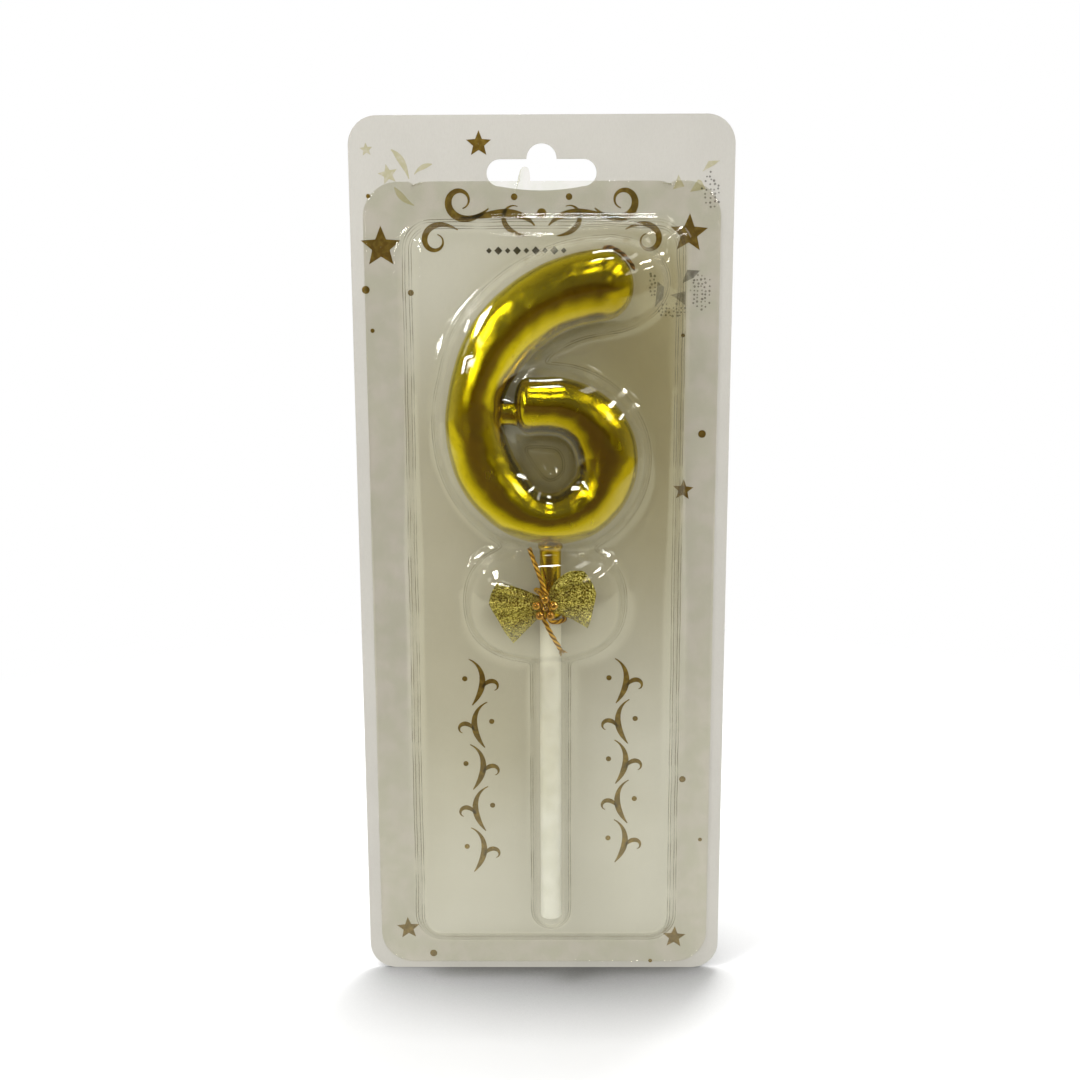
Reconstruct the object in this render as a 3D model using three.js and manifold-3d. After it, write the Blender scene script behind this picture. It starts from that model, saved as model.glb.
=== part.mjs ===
// Carded number candle: a gold wax numeral on a tube stick, dressed with a ribbon bow,
// sealed under a clear formed blister on a printed hang card.
//
// Millimetres, +Z up, front towards -Y. The origin is the top of the hang hole, halfway
// through the card, where a peg carries the pack. Inside this file a height is measured
// up from the card's bottom edge, and a depth forward from the card's front face.

import * as THREE from 'three';
import { mergeVertices, toCreasedNormals } from 'three/addons/utils/BufferGeometryUtils.js';
import Module from 'manifold-3d';

const wasm = await Module();
wasm.setup();

// Hang card: it reaches a header's height above the tray
const CARD_WIDTH = 87;
const CARD_THICKNESS = 0.5;
const CARD_CORNER = 6.5;
const HEADER_HEIGHT = 22;

// Hang hole: a long slot with a round peg notch in its top edge and a bellied lower edge
const SLOT_WIDTH = 24.8;
const SLOT_HEIGHT = 6;
const SLOT_DROP = 9.5;
const SLOT_BELLY = 0.9;
const NOTCH_RADIUS = 3.4;

// Blister sheet and its sealed flange
const SHEET = 0.4;
const SEAL_GAP = 0.05;
const FLANGE_SIDE_MARGIN = 3;
const FLANGE_FOOT_MARGIN = 1.8;
const FLANGE_HEAD_HEIGHT = 7.6;
const FLANGE_CORNER = 8;
const FLANGE_DIP = 0.8;
const FLANGE_DIP_WIDTH = 3.6;
const FLANGE_DIP_INSET = 12.5;
const NUB_WIDTH = 2.3;
const NUB_RISE = 3.1;
const NUB_X = -3.7;

// Raised tray of the blister, which leaves room above the numeral and below the stick
const TRAY_WIDTH = 66;
const TRAY_HEAD_ROOM = 8;
const TRAY_FOOT_ROOM = 10.2;
const TRAY_X = 0.5;
const TRAY_DEPTH = 5.5;
const TRAY_DRAFT = 3.6;
const TRAY_CORNER = 7.5;
const TRAY_EDGE_RADIUS = 1.2;

// Numeral: a bowl, a spine and an arm, each an arc that runs tangent into the next
const BOWL_X = 1.9;
const BOWL_RADIUS = 12.9;
const BOWL_LEAD = 4.9;
const BOWL_SWEEP = 222;
const SPINE_RADIUS = 26.1;
const SPINE_SWEEP = 64;
const ARM_RADIUS = 31;
const ARM_SWEEP = 68.5;
const NUMERAL_THICKNESS = 13.2;
const BLUNT_END_LENGTH = 2.6;
const STROKE_WIDTH = 13.1;
// How the stroke swells and thins from the blunt end to the tip: [share of length, factor]
const STROKE_SWELL = [
  [0, 0.99],
  [0.07, 1.01],
  [0.19, 1.09],
  [0.29, 1],
  [0.38, 0.91],
  [0.53, 1.1],
  [0.68, 0.99],
  [0.8, 1.16],
  [1, 1.22],
];

// Web of wax between the blunt end and the spine
const WEB_HEIGHT = 9;
const WEB_DROP = 0.6;
const WEB_THICKNESS = 3.8;

// Wick: it leaves the tip near its crown and lies over the tip's curve
const WICK_DIAMETER = 1;
const WICK_EXIT_ANGLE = 80;
const WICK_LAID_SWEEP = 50;
const WICK_BURIED = 9;

// Neck and stick
const STEM_X = 1.8;
const STEM_DIAMETER = 5;
const NECK_LENGTH = 16.5;
const COLLAR_DIAMETER = 5.7;
const COLLAR_HEIGHT = 0.7;
const TENON_DIAMETER = 3;
const TENON_LENGTH = 6;
const PLUG_LENGTH = 8;
const PLUG_CHAMFER = 0.3;
const STICK_BORE = 3.8;
const STICK_LENGTH = 74;
const STICK_FOOT_HEIGHT = 17.7;
const STICK_LIP = 0.2;

// Ribbon bow: one strip pinched at its middle, so that each half opens as a fan
const BOW_X = 0.6;
const BOW_RISE = 3.2;
const RIBBON_THICKNESS = 0.5;
const PINCH_THICKNESS = 1.1;
const PINCH_HEIGHT = 3.2;
const LEFT_WING_LENGTH = 12.3;
const RIGHT_WING_LENGTH = 11.5;
// Spread of each wing's cut edge, in degrees round the pinch
const LEFT_WING_SPREAD = [230, 156];
const RIGHT_WING_SPREAD = [-31, 46];
const PLEAT_DEPTH = 0.55;
const PLEAT_COUNT = 3;
const WING_FORWARD_DEPTH = 0.7;

// Flower of beads over the pinch
const PETAL_COUNT = 5;
const PETAL_DIAMETER = 2.15;
const PETAL_RING_RADIUS = 2.05;
const CENTRE_BEAD_DIAMETER = 1.5;

// Tie cord, and how far its tail hangs below the pinch and out to the side
const CORD_DIAMETER = 1.1;
const TAIL_LENGTH = 9.8;
const TAIL_SWAY_WIDTH = 4.1;

// Clearances
const REST_GAP = 0.3;
const FIT_GAP = 0.3;
const BUBBLE_GAP = 0.4;

// Blister bubbles over the numeral, the bow and the stick
const NUMERAL_MARGIN = 2.6;
const BOW_SIDE_MARGIN = 6.2;
const BOW_FOOT_MARGIN = 4.3;
const CHANNEL_MARGIN = 2;
const CHANNEL_FOOT_GAP = 1.2;
const BUBBLE_SINK_DEPTH = 1;

// Roundness of lofted sections: 2 is an ellipse, more is squarer
const STROKE_ROUNDNESS = 2.1;
const DOME_ROUNDNESS = 2.4;
const BOW_DOME_ROUNDNESS = 2.8;

// How finely curved forms are divided
const STROKE_STEPS = 54;
const STROKE_SIDES = 20;
const DOME_STEPS = 44;
const DOME_SIDES = 12;
const CAP_STEPS = 4;
const CREASE_ANGLE = 35;

// Depths in front of the card that follow from the sizes above
const STEM_DEPTH = REST_GAP + NUMERAL_THICKNESS / 2;
const NUMERAL_FRONT = REST_GAP + NUMERAL_THICKNESS;
const PINCH_DEPTH = STEM_DEPTH + (STEM_DIAMETER + PINCH_THICKNESS) / 2 + REST_GAP;
const CROSSING_DEPTH = PINCH_DEPTH + (PINCH_THICKNESS + CORD_DIAMETER) / 2 + REST_GAP;
const BEAD_DEPTH = CROSSING_DEPTH + (CORD_DIAMETER + PETAL_DIAMETER) / 2 + REST_GAP;

// Heights above the card's bottom edge that follow, from the stick's foot upwards
const STICK_TOP = STICK_FOOT_HEIGHT + STICK_LENGTH;
const SHOULDER = STICK_TOP + FIT_GAP;
const BOW_HEIGHT = SHOULDER + BOW_RISE;
const NUMERAL_FOOT = SHOULDER + NECK_LENGTH + FIT_GAP;
const ARCS = [
  { radius: BOWL_RADIUS, sweep: BOWL_SWEEP },
  { radius: SPINE_RADIUS, sweep: SPINE_SWEEP },
  { radius: ARM_RADIUS, sweep: ARM_SWEEP },
];
const BOWL_HEIGHT = NUMERAL_FOOT + strokeWidth(bowlFootShare()) / 2 + BOWL_RADIUS;
const TRAY_FOOT = STICK_FOOT_HEIGHT - TRAY_FOOT_ROOM;
const TRAY_TOP = numeralTop() + TRAY_HEAD_ROOM;
const FLANGE_TOP = TRAY_TOP + FLANGE_HEAD_HEIGHT;
const CARD_TOP = TRAY_TOP + HEADER_HEIGHT;
const HANG_HEIGHT = CARD_TOP - SLOT_DROP + NOTCH_RADIUS;

const GOLD = { color: 0xb8a01c, roughness: 0.22, metalness: 1 };
const MATERIALS = {
  card: new THREE.MeshStandardMaterial({ color: 0xd8d5c8, roughness: 0.55, metalness: 0 }),
  blister: new THREE.MeshStandardMaterial({
    color: 0xf4f6f4,
    roughness: 0.06,
    metalness: 0,
    transparent: true,
    opacity: 0.25,
  }),
  numeral: new THREE.MeshStandardMaterial(GOLD),
  neck: new THREE.MeshStandardMaterial({ ...GOLD, roughness: 0.28 }),
  wick: new THREE.MeshStandardMaterial({ color: 0x5a3a1c, roughness: 0.9, metalness: 0 }),
  stick: new THREE.MeshStandardMaterial({
    color: 0xe9e8dc,
    roughness: 0.3,
    metalness: 0,
    transparent: true,
    opacity: 0.7,
  }),
  ribbon: new THREE.MeshStandardMaterial({ color: 0xa99a2c, roughness: 0.5, metalness: 0.6 }),
  bead: new THREE.MeshStandardMaterial({ color: 0xb4770c, roughness: 0.12, metalness: 0.5 }),
  cord: new THREE.MeshStandardMaterial({ color: 0x9a6f1e, roughness: 0.5, metalness: 0.4 }),
};

function radians(degrees) {
  return THREE.MathUtils.degToRad(degrees);
}

// A place in the pack, from its x, its depth in front of the card and its height
function place(x, depth, height) {
  return new THREE.Vector3(x, -depth, height);
}

function toSolid(geometry) {
  geometry.deleteAttribute('normal');
  geometry.deleteAttribute('uv');
  const merged = mergeVertices(geometry, 1e-5);
  return new wasm.Manifold(
    new wasm.Mesh({
      numProp: 3,
      vertProperties: new Float32Array(merged.attributes.position.array),
      triVerts: new Uint32Array(merged.index.array),
    }),
  );
}

function toGeometry(solid) {
  const mesh = solid.getMesh();
  const geometry = new THREE.BufferGeometry();
  geometry.setAttribute('position', new THREE.BufferAttribute(mesh.vertProperties, 3));
  geometry.setIndex(new THREE.BufferAttribute(mesh.triVerts, 1));
  return toCreasedNormals(geometry, radians(CREASE_ANGLE));
}

// A flat plate whose outline is drawn in x and height, from one depth to another
function plate(outline, backDepth, frontDepth) {
  const geometry = new THREE.ExtrudeGeometry(outline, {
    depth: frontDepth - backDepth,
    bevelEnabled: false,
    curveSegments: 8,
  });
  geometry.rotateX(Math.PI / 2);
  geometry.translate(0, -backDepth, 0);
  return geometry;
}

// Twice the signed volume of a tetrahedron on the origin, for telling which way faces point
function tripleProduct(a, b, c) {
  return a.dot(b.clone().cross(c));
}

// A closed body through rings of equal, even point counts. Point i of a ring faces point
// count - 1 - i, so each end is closed by a strip between the two halves of its ring.
function loft(rings) {
  const count = rings[0].length;
  const points = rings.flat();
  const triangles = [];
  for (let row = 0; row < rings.length - 1; row += 1) {
    for (let i = 0; i < count; i += 1) {
      const a = row * count + i;
      const b = row * count + ((i + 1) % count);
      triangles.push([a, b, b + count], [a, b + count, a + count]);
    }
  }
  const last = (rings.length - 1) * count;
  for (let i = 0; i < count / 2 - 1; i += 1) {
    const j = count - 1 - i;
    triangles.push([i, j, j - 1], [i, j - 1, i + 1]);
    triangles.push([last + i, last + j - 1, last + j], [last + i, last + i + 1, last + j - 1]);
  }
  const volume = triangles.reduce(
    (sum, [a, b, c]) => sum + tripleProduct(points[a], points[b], points[c]),
    0,
  );
  const facing = volume < 0 ? triangles.map(([a, b, c]) => [a, c, b]) : triangles;
  const geometry = new THREE.BufferGeometry().setFromPoints(points);
  geometry.setIndex(facing.flat());
  return toCreasedNormals(geometry, radians(CREASE_ANGLE));
}

// Cosine and sine of an angle, squared off by a roundness above 2
function squared(angle, roundness) {
  const power = (value) => Math.sign(value) * Math.abs(value) ** (2 / roundness);
  return [power(Math.cos(angle)), power(Math.sin(angle))];
}

// Round tube along hand-placed points
function tubeThrough(points, diameter, sides, steps) {
  const section = new THREE.Shape(
    Array.from({ length: sides }, (_, i) => {
      const angle = (i / sides) * 2 * Math.PI;
      return new THREE.Vector2(Math.cos(angle), Math.sin(angle)).multiplyScalar(diameter / 2);
    }),
  );
  return new THREE.ExtrudeGeometry(section, {
    steps,
    extrudePath: new THREE.CatmullRomCurve3(points, false, 'centripetal'),
  });
}

function roundedRectangle(width, height, corner, centreX, foot) {
  const left = centreX - width / 2;
  const right = centreX + width / 2;
  const top = foot + height;
  const outline = new THREE.Shape();
  outline.moveTo(left + corner, foot);
  outline.absarc(right - corner, foot + corner, corner, -Math.PI / 2, 0, false);
  outline.absarc(right - corner, top - corner, corner, 0, Math.PI / 2, false);
  outline.absarc(left + corner, top - corner, corner, Math.PI / 2, Math.PI, false);
  outline.absarc(left + corner, foot + corner, corner, Math.PI, 1.5 * Math.PI, false);
  return outline;
}

function hangHoleOutline() {
  const top = CARD_TOP - SLOT_DROP;
  const endRadius = SLOT_HEIGHT / 2;
  const middle = top - endRadius;
  const endX = SLOT_WIDTH / 2 - endRadius;
  const hole = new THREE.Path();
  hole.moveTo(-endX, top);
  hole.lineTo(-NOTCH_RADIUS, top);
  hole.absarc(0, top, NOTCH_RADIUS, Math.PI, 0, true);
  hole.lineTo(endX, top);
  hole.absarc(endX, middle, endRadius, Math.PI / 2, -Math.PI / 2, true);
  hole.quadraticCurveTo(0, middle - endRadius - 2 * SLOT_BELLY, -endX, middle - endRadius);
  hole.absarc(-endX, middle, endRadius, -Math.PI / 2, -1.5 * Math.PI, true);
  return hole;
}

function backingCard() {
  const outline = roundedRectangle(CARD_WIDTH, CARD_TOP, CARD_CORNER, 0, 0);
  outline.holes.push(hangHoleOutline());
  return plate(outline, -CARD_THICKNESS, 0);
}

// Length of the numeral's middle line
function numeralLength() {
  return ARCS.reduce((length, { radius, sweep }) => length + radius * radians(sweep), BOWL_LEAD);
}

// Share of the numeral's length at which the bowl is lowest
function bowlFootShare() {
  return (BOWL_LEAD + Math.PI * BOWL_RADIUS) / numeralLength();
}

// Middle line of the numeral in x and height, from the blunt end of the bowl to the tip
function numeralPath() {
  const path = new THREE.Path();
  path.moveTo(BOWL_X - BOWL_LEAD, BOWL_HEIGHT + BOWL_RADIUS);
  path.lineTo(BOWL_X, BOWL_HEIGHT + BOWL_RADIUS);
  for (const { centre, radius, from, to } of arcCentres(BOWL_HEIGHT)) {
    path.absarc(centre.x, centre.y, radius, from, to, true);
  }
  return path;
}

// Centre and ends of each arc, where each centre lies on the line through the last joint
function arcCentres(bowlHeight) {
  const centre = new THREE.Vector2(BOWL_X, bowlHeight);
  let last = BOWL_RADIUS;
  let angle = Math.PI / 2;
  return ARCS.map(({ radius, sweep }) => {
    centre.x += (last - radius) * Math.cos(angle);
    centre.y += (last - radius) * Math.sin(angle);
    const from = angle;
    angle -= radians(sweep);
    last = radius;
    return { centre: centre.clone(), radius, from, to: angle };
  });
}

// Height of the top of the numeral's round tip
function numeralTop() {
  const { centre, radius, to } = arcCentres(BOWL_HEIGHT)[ARCS.length - 1];
  return centre.y + radius * Math.sin(to) + strokeWidth(1) / 2;
}

function strokeWidth(share) {
  const next = Math.max(STROKE_SWELL.findIndex(([at]) => at >= share), 1);
  const [fromShare, fromSwell] = STROKE_SWELL[next - 1];
  const [toShare, toSwell] = STROKE_SWELL[next];
  const along = THREE.MathUtils.smoothstep(share, fromShare, toShare);
  return STROKE_WIDTH * THREE.MathUtils.lerp(fromSwell, toSwell, along);
}

// A station has its place, the stroke's direction, its half width and how far an end has
// closed it: 1 on the stroke, less within an end cap
function station(point, direction, halfWidth, closing) {
  return { point, direction, halfWidth, closing };
}

// Stations along a flat path, with a rounded cap of a given length at each end that has one
function stations(path, steps, halfWidthAt, startCap, endCap, roundness) {
  const nudge = 1e-3;
  const list = [];
  for (let i = 0; i <= steps; i += 1) {
    const share = i / steps;
    const before = path.getPoint(Math.max(share - nudge, 0));
    const after = path.getPoint(Math.min(share + nudge, 1));
    const direction = after.sub(before).normalize();
    list.push(station(path.getPoint(share), direction, halfWidthAt(share), 1));
  }
  const cap = (from, length, sign) =>
    Array.from({ length: CAP_STEPS }, (_, i) => {
      const angle = ((i + 1) / (CAP_STEPS + 0.3)) * (Math.PI / 2);
      const [closing, reach] = squared(angle, roundness);
      const point = from.point.clone().addScaledVector(from.direction, sign * length * reach);
      return station(point, from.direction, from.halfWidth, closing);
    });
  const start = startCap > 0 ? cap(list[0], startCap, -1).reverse() : [];
  const end = endCap > 0 ? cap(list[list.length - 1], endCap, 1) : [];
  return [...start, ...list, ...end];
}

// Point of a section, across the stroke and at a depth
function across({ point, direction }, offset, depth) {
  return place(point.x - direction.y * offset, depth, point.y + direction.x * offset);
}

// Full oval section of the numeral
function ovalRing(at) {
  return Array.from({ length: STROKE_SIDES }, (_, i) => {
    const angle = (i / STROKE_SIDES) * 2 * Math.PI;
    const offset = at.halfWidth * at.closing * Math.cos(angle);
    const rise = (NUMERAL_THICKNESS / 2) * at.closing * Math.sin(angle);
    return across(at, offset, STEM_DEPTH + rise);
  });
}

// Dome section of a bubble, which stands on the tray and reaches a little way into it
function domeRing(at, base, rise) {
  const half = at.halfWidth * at.closing;
  const arch = Array.from({ length: DOME_SIDES }, (_, i) => {
    const [wide, high] = squared((i / (DOME_SIDES - 1)) * Math.PI, DOME_ROUNDNESS);
    return across(at, half * wide, base + rise * at.closing * Math.max(high, 0));
  });
  const sunk = base - BUBBLE_SINK_DEPTH;
  return [across(at, half, sunk), ...arch, across(at, -half, sunk)];
}

// One body from rings that may come back past themselves: two lofts that meet at a ring
function loftInHalves(rings) {
  const middle = Math.floor(rings.length / 2);
  const firstHalf = toSolid(loft(rings.slice(0, middle + 1)));
  return firstHalf.add(toSolid(loft(rings.slice(middle))));
}

function numeralTip() {
  const path = numeralPath();
  return { centre: path.getPoint(1), radius: strokeWidth(1) / 2 };
}

// Point round the tip, at a distance from its centre and an angle above level
function aroundTip(distance, degrees) {
  const { centre } = numeralTip();
  const angle = radians(degrees);
  return place(
    centre.x + distance * Math.cos(angle),
    STEM_DEPTH,
    centre.y + distance * Math.sin(angle),
  );
}

function wickHole() {
  const { radius } = numeralTip();
  const inner = aroundTip(radius - WICK_BURIED - FIT_GAP, WICK_EXIT_ANGLE);
  const outer = aroundTip(radius + WICK_DIAMETER, WICK_EXIT_ANGLE);
  const drill = new THREE.CylinderGeometry(
    WICK_DIAMETER / 2 + FIT_GAP,
    WICK_DIAMETER / 2 + FIT_GAP,
    inner.distanceTo(outer),
    10,
  );
  const along = outer.clone().sub(inner).normalize();
  drill.applyQuaternion(
    new THREE.Quaternion().setFromUnitVectors(new THREE.Vector3(0, 1, 0), along),
  );
  const middle = inner.add(outer).multiplyScalar(0.5);
  drill.translate(middle.x, middle.y, middle.z);
  return drill;
}

function stemSocket() {
  const radius = TENON_DIAMETER / 2 + FIT_GAP;
  const depth = TENON_LENGTH + FIT_GAP;
  const socket = new THREE.CylinderGeometry(radius, radius, 2 * depth, 16);
  socket.rotateX(Math.PI / 2);
  const foot = place(STEM_X, STEM_DEPTH, NUMERAL_FOOT);
  socket.translate(foot.x, foot.y, foot.z);
  return socket;
}

// Web from the blunt end's middle to the spine's, thin enough to show only between them
function waxWeb() {
  const [, spine] = arcCentres(BOWL_HEIGHT);
  const left = spine.centre.x - SPINE_RADIUS;
  const right = BOWL_X - BOWL_LEAD;
  const web = new THREE.BoxGeometry(right - left, WEB_THICKNESS, WEB_HEIGHT);
  const middle = place(
    (left + right) / 2,
    STEM_DEPTH,
    BOWL_HEIGHT + BOWL_RADIUS - WEB_DROP,
  );
  web.translate(middle.x, middle.y, middle.z);
  return web;
}

function wax() {
  const halfWidthAt = (share) => strokeWidth(share) / 2;
  const { radius } = numeralTip();
  const stroke = stations(
    numeralPath(),
    STROKE_STEPS,
    halfWidthAt,
    BLUNT_END_LENGTH,
    radius,
    STROKE_ROUNDNESS,
  );
  const body = loftInHalves(stroke.map(ovalRing)).add(toSolid(waxWeb()));
  const cuts = [wickHole(), stemSocket()].map(toSolid);
  return toGeometry(cuts.reduce((left, cut) => left.subtract(cut), body));
}

function wick() {
  const { radius } = numeralTip();
  const laid = radius + FIT_GAP + WICK_DIAMETER / 2;
  const bend = THREE.MathUtils.radToDeg((1.2 * WICK_DIAMETER) / radius);
  const firstLaid = WICK_EXIT_ANGLE - bend;
  const laidSteps = 4;
  const points = [
    aroundTip(radius - WICK_BURIED, WICK_EXIT_ANGLE),
    aroundTip(radius - WICK_BURIED / 2, WICK_EXIT_ANGLE),
    aroundTip(radius - WICK_DIAMETER, WICK_EXIT_ANGLE),
    aroundTip(radius, WICK_EXIT_ANGLE),
    aroundTip(laid - 0.25 * WICK_DIAMETER, WICK_EXIT_ANGLE - 0.3 * bend),
  ];
  for (let i = 0; i <= laidSteps; i += 1) {
    points.push(aroundTip(laid, firstLaid - (i / laidSteps) * WICK_LAID_SWEEP));
  }
  return tubeThrough(points, WICK_DIAMETER, 8, 24);
}

// Neck: a turned gold post with a tenon in the wax above and a plug in the stick below
function neckPost() {
  const top = NUMERAL_FOOT - FIT_GAP;
  const plugRadius = STICK_BORE / 2 - FIT_GAP;
  const plugFoot = SHOULDER - PLUG_LENGTH;
  const profile = [
    [0, plugFoot],
    [plugRadius - PLUG_CHAMFER, plugFoot],
    [plugRadius, plugFoot + 2 * PLUG_CHAMFER],
    [plugRadius, SHOULDER],
    [STEM_DIAMETER / 2, SHOULDER],
    [STEM_DIAMETER / 2, top - COLLAR_HEIGHT],
    [COLLAR_DIAMETER / 2, top - 0.7 * COLLAR_HEIGHT],
    [COLLAR_DIAMETER / 2, top],
    [TENON_DIAMETER / 2, top],
    [TENON_DIAMETER / 2, top + TENON_LENGTH],
    [0, top + TENON_LENGTH],
  ];
  return turned(profile, 24);
}

function stickTube() {
  const outer = STEM_DIAMETER / 2;
  const bore = STICK_BORE / 2;
  const profile = [
    [bore, STICK_FOOT_HEIGHT],
    [outer - STICK_LIP, STICK_FOOT_HEIGHT],
    [outer, STICK_FOOT_HEIGHT + STICK_LIP],
    [outer, STICK_TOP - STICK_LIP],
    [outer - STICK_LIP, STICK_TOP],
    [bore, STICK_TOP],
    [bore, STICK_FOOT_HEIGHT],
  ];
  return turned(profile, 24);
}

// A body turned about the stem's upright axis from a profile of radii and heights
function turned(profile, sides) {
  const geometry = new THREE.LatheGeometry(
    profile.map(([radius, height]) => new THREE.Vector2(radius, height)),
    sides,
  );
  geometry.rotateX(Math.PI / 2);
  geometry.translate(STEM_X, -STEM_DEPTH, 0);
  return geometry;
}

// One column of the ribbon, at a share of the way from the pinch to a wing's cut edge
function ribbonRing(length, [from, to], reach) {
  const rows = 15;
  const half = THREE.MathUtils.lerp(
    PINCH_THICKNESS,
    RIBBON_THICKNESS,
    THREE.MathUtils.smoothstep(reach, 0, 0.3),
  ) / 2;
  const column = Array.from({ length: rows }, (_, i) => {
    const rib = (i / (rows - 1)) * 2 - 1;
    const angle = radians(THREE.MathUtils.mapLinear(rib, -1, 1, from, to));
    const x = BOW_X + reach * length * Math.cos(angle);
    const rise = reach * length * Math.sin(angle) + (1 - reach) * rib * (PINCH_HEIGHT / 2);
    const pleat = PLEAT_DEPTH * Math.sqrt(reach) * Math.cos(PLEAT_COUNT * Math.PI * rib);
    const depth = PINCH_DEPTH + WING_FORWARD_DEPTH * reach + pleat;
    return { x, height: BOW_HEIGHT + rise, depth };
  });
  const front = column.map(({ x, height, depth }) => place(x, depth + half, height));
  const back = column.map(({ x, height, depth }) => place(x, depth - half, height));
  return [...front, ...back.reverse()];
}

function bowRibbon() {
  const columns = 9;
  const reaches = Array.from({ length: columns }, (_, i) => (i + 0.35) / (columns - 0.65));
  const left = reaches.map((reach) => ribbonRing(LEFT_WING_LENGTH, LEFT_WING_SPREAD, reach));
  const right = reaches.map((reach) => ribbonRing(RIGHT_WING_LENGTH, RIGHT_WING_SPREAD, reach));
  return loft([...left.reverse(), ...right]);
}

// Point of the cord's turn round the neck, where turn 0 is in front and 0.25 on the right
function roundNeck(turn, height) {
  const radius = (STEM_DIAMETER + CORD_DIAMETER) / 2 + REST_GAP;
  const angle = turn * 2 * Math.PI;
  return place(
    STEM_X + radius * Math.sin(angle),
    STEM_DEPTH + radius * Math.cos(angle),
    height,
  );
}

// Tie cord: from under the numeral down over the pinch, once round behind the neck, over the
// pinch again beside itself, and out below as a tail
function tieCord() {
  const beside = (CORD_DIAMETER + REST_GAP) / 2;
  const half = PINCH_HEIGHT / 2;
  const low = BOW_HEIGHT - half - 2.1 * CORD_DIAMETER;
  const high = BOW_HEIGHT + half + 1.4 * CORD_DIAMETER;
  const start = roundNeck(0.75, NUMERAL_FOOT - REST_GAP - CORD_DIAMETER / 2);
  start.x -= 1.4 * CORD_DIAMETER;
  const firstTop = place(BOW_X + beside, CROSSING_DEPTH, BOW_HEIGHT + half);
  const firstFoot = place(BOW_X + beside, CROSSING_DEPTH, BOW_HEIGHT - half);
  const secondTop = place(BOW_X - beside, CROSSING_DEPTH, BOW_HEIGHT + half);
  const secondFoot = place(BOW_X - beside, CROSSING_DEPTH, BOW_HEIGHT - half);
  const tail = (share, forward) =>
    place(
      secondFoot.x + TAIL_SWAY_WIDTH * share,
      CROSSING_DEPTH + CORD_DIAMETER * forward,
      THREE.MathUtils.lerp(secondFoot.z, BOW_HEIGHT - TAIL_LENGTH, share ** 0.85),
    );
  const turns = [0.13, 0.25, 0.38, 0.5, 0.62, 0.75, 0.87];
  const wrap = turns.map((turn) =>
    roundNeck(turn, THREE.MathUtils.lerp(low, high, THREE.MathUtils.smoothstep(turn, 0.2, 0.8))),
  );
  const over = place(
    secondTop.x - 0.3 * CORD_DIAMETER,
    CROSSING_DEPTH - 0.5 * CORD_DIAMETER,
    BOW_HEIGHT + half + 1.2 * CORD_DIAMETER,
  );
  const points = [
    start,
    start.clone().lerp(firstTop, 0.3),
    start.clone().lerp(firstTop, 0.6),
    start.clone().lerp(firstTop, 0.85),
    firstTop,
    firstFoot,
    place(
      firstFoot.x + 0.2 * CORD_DIAMETER,
      CROSSING_DEPTH - 0.2 * CORD_DIAMETER,
      BOW_HEIGHT - half - CORD_DIAMETER,
    ),
    place(firstFoot.x + CORD_DIAMETER, CROSSING_DEPTH - CORD_DIAMETER, low),
    ...wrap,
    over,
    secondTop,
    secondFoot,
    tail(0.15, 0.6),
    tail(0.4, 0.85),
    tail(0.7, 0.7),
    tail(1, 0.4),
  ];
  return tubeThrough(points, CORD_DIAMETER, 8, 76);
}

function beadCentre(ring, turn) {
  const angle = Math.PI / 2 + turn * 2 * Math.PI;
  return place(BOW_X + ring * Math.cos(angle), BEAD_DEPTH, BOW_HEIGHT + ring * Math.sin(angle));
}

function bead(diameter, centre) {
  const geometry = new THREE.SphereGeometry(diameter / 2, 16, 10);
  geometry.translate(centre.x, centre.y, centre.z);
  return geometry;
}

// Outline of the sealed flange, with the two shallow dips and the round nub of its top edge
function flangeOutline() {
  const left = -CARD_WIDTH / 2 + FLANGE_SIDE_MARGIN;
  const right = CARD_WIDTH / 2 - FLANGE_SIDE_MARGIN;
  const foot = FLANGE_FOOT_MARGIN;
  const top = FLANGE_TOP;
  const corner = FLANGE_CORNER;
  const nubRadius = NUB_WIDTH / 2;
  const outline = new THREE.Shape();
  const dip = (x) => {
    outline.lineTo(x + FLANGE_DIP_WIDTH / 2, top);
    outline.quadraticCurveTo(x, top - 2 * FLANGE_DIP, x - FLANGE_DIP_WIDTH / 2, top);
  };
  outline.moveTo(left + corner, foot);
  outline.absarc(right - corner, foot + corner, corner, -Math.PI / 2, 0, false);
  outline.absarc(right - corner, top - corner, corner, 0, Math.PI / 2, false);
  dip(right - FLANGE_DIP_INSET);
  outline.lineTo(NUB_X + 0.75 * nubRadius, top);
  outline.absarc(NUB_X, top + NUB_RISE - nubRadius, nubRadius, -0.8, Math.PI + 0.8, false);
  outline.lineTo(NUB_X - 0.75 * nubRadius, top);
  dip(left + FLANGE_DIP_INSET);
  outline.absarc(left + corner, top - corner, corner, Math.PI / 2, Math.PI, false);
  outline.absarc(left + corner, foot + corner, corner, Math.PI, 1.5 * Math.PI, false);
  return outline;
}

// Ring of the tray at a depth, drawn in from its base outline
function trayRing(inset, depth) {
  const outline = roundedRectangle(
    TRAY_WIDTH - 2 * inset,
    TRAY_TOP - TRAY_FOOT - 2 * inset,
    Math.max(TRAY_CORNER - 0.7 * inset, TRAY_EDGE_RADIUS),
    TRAY_X,
    TRAY_FOOT + inset,
  );
  const points = outline.getPoints(6).slice(0, -1);
  return points.map(({ x, y }) => place(x, depth, y));
}

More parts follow.
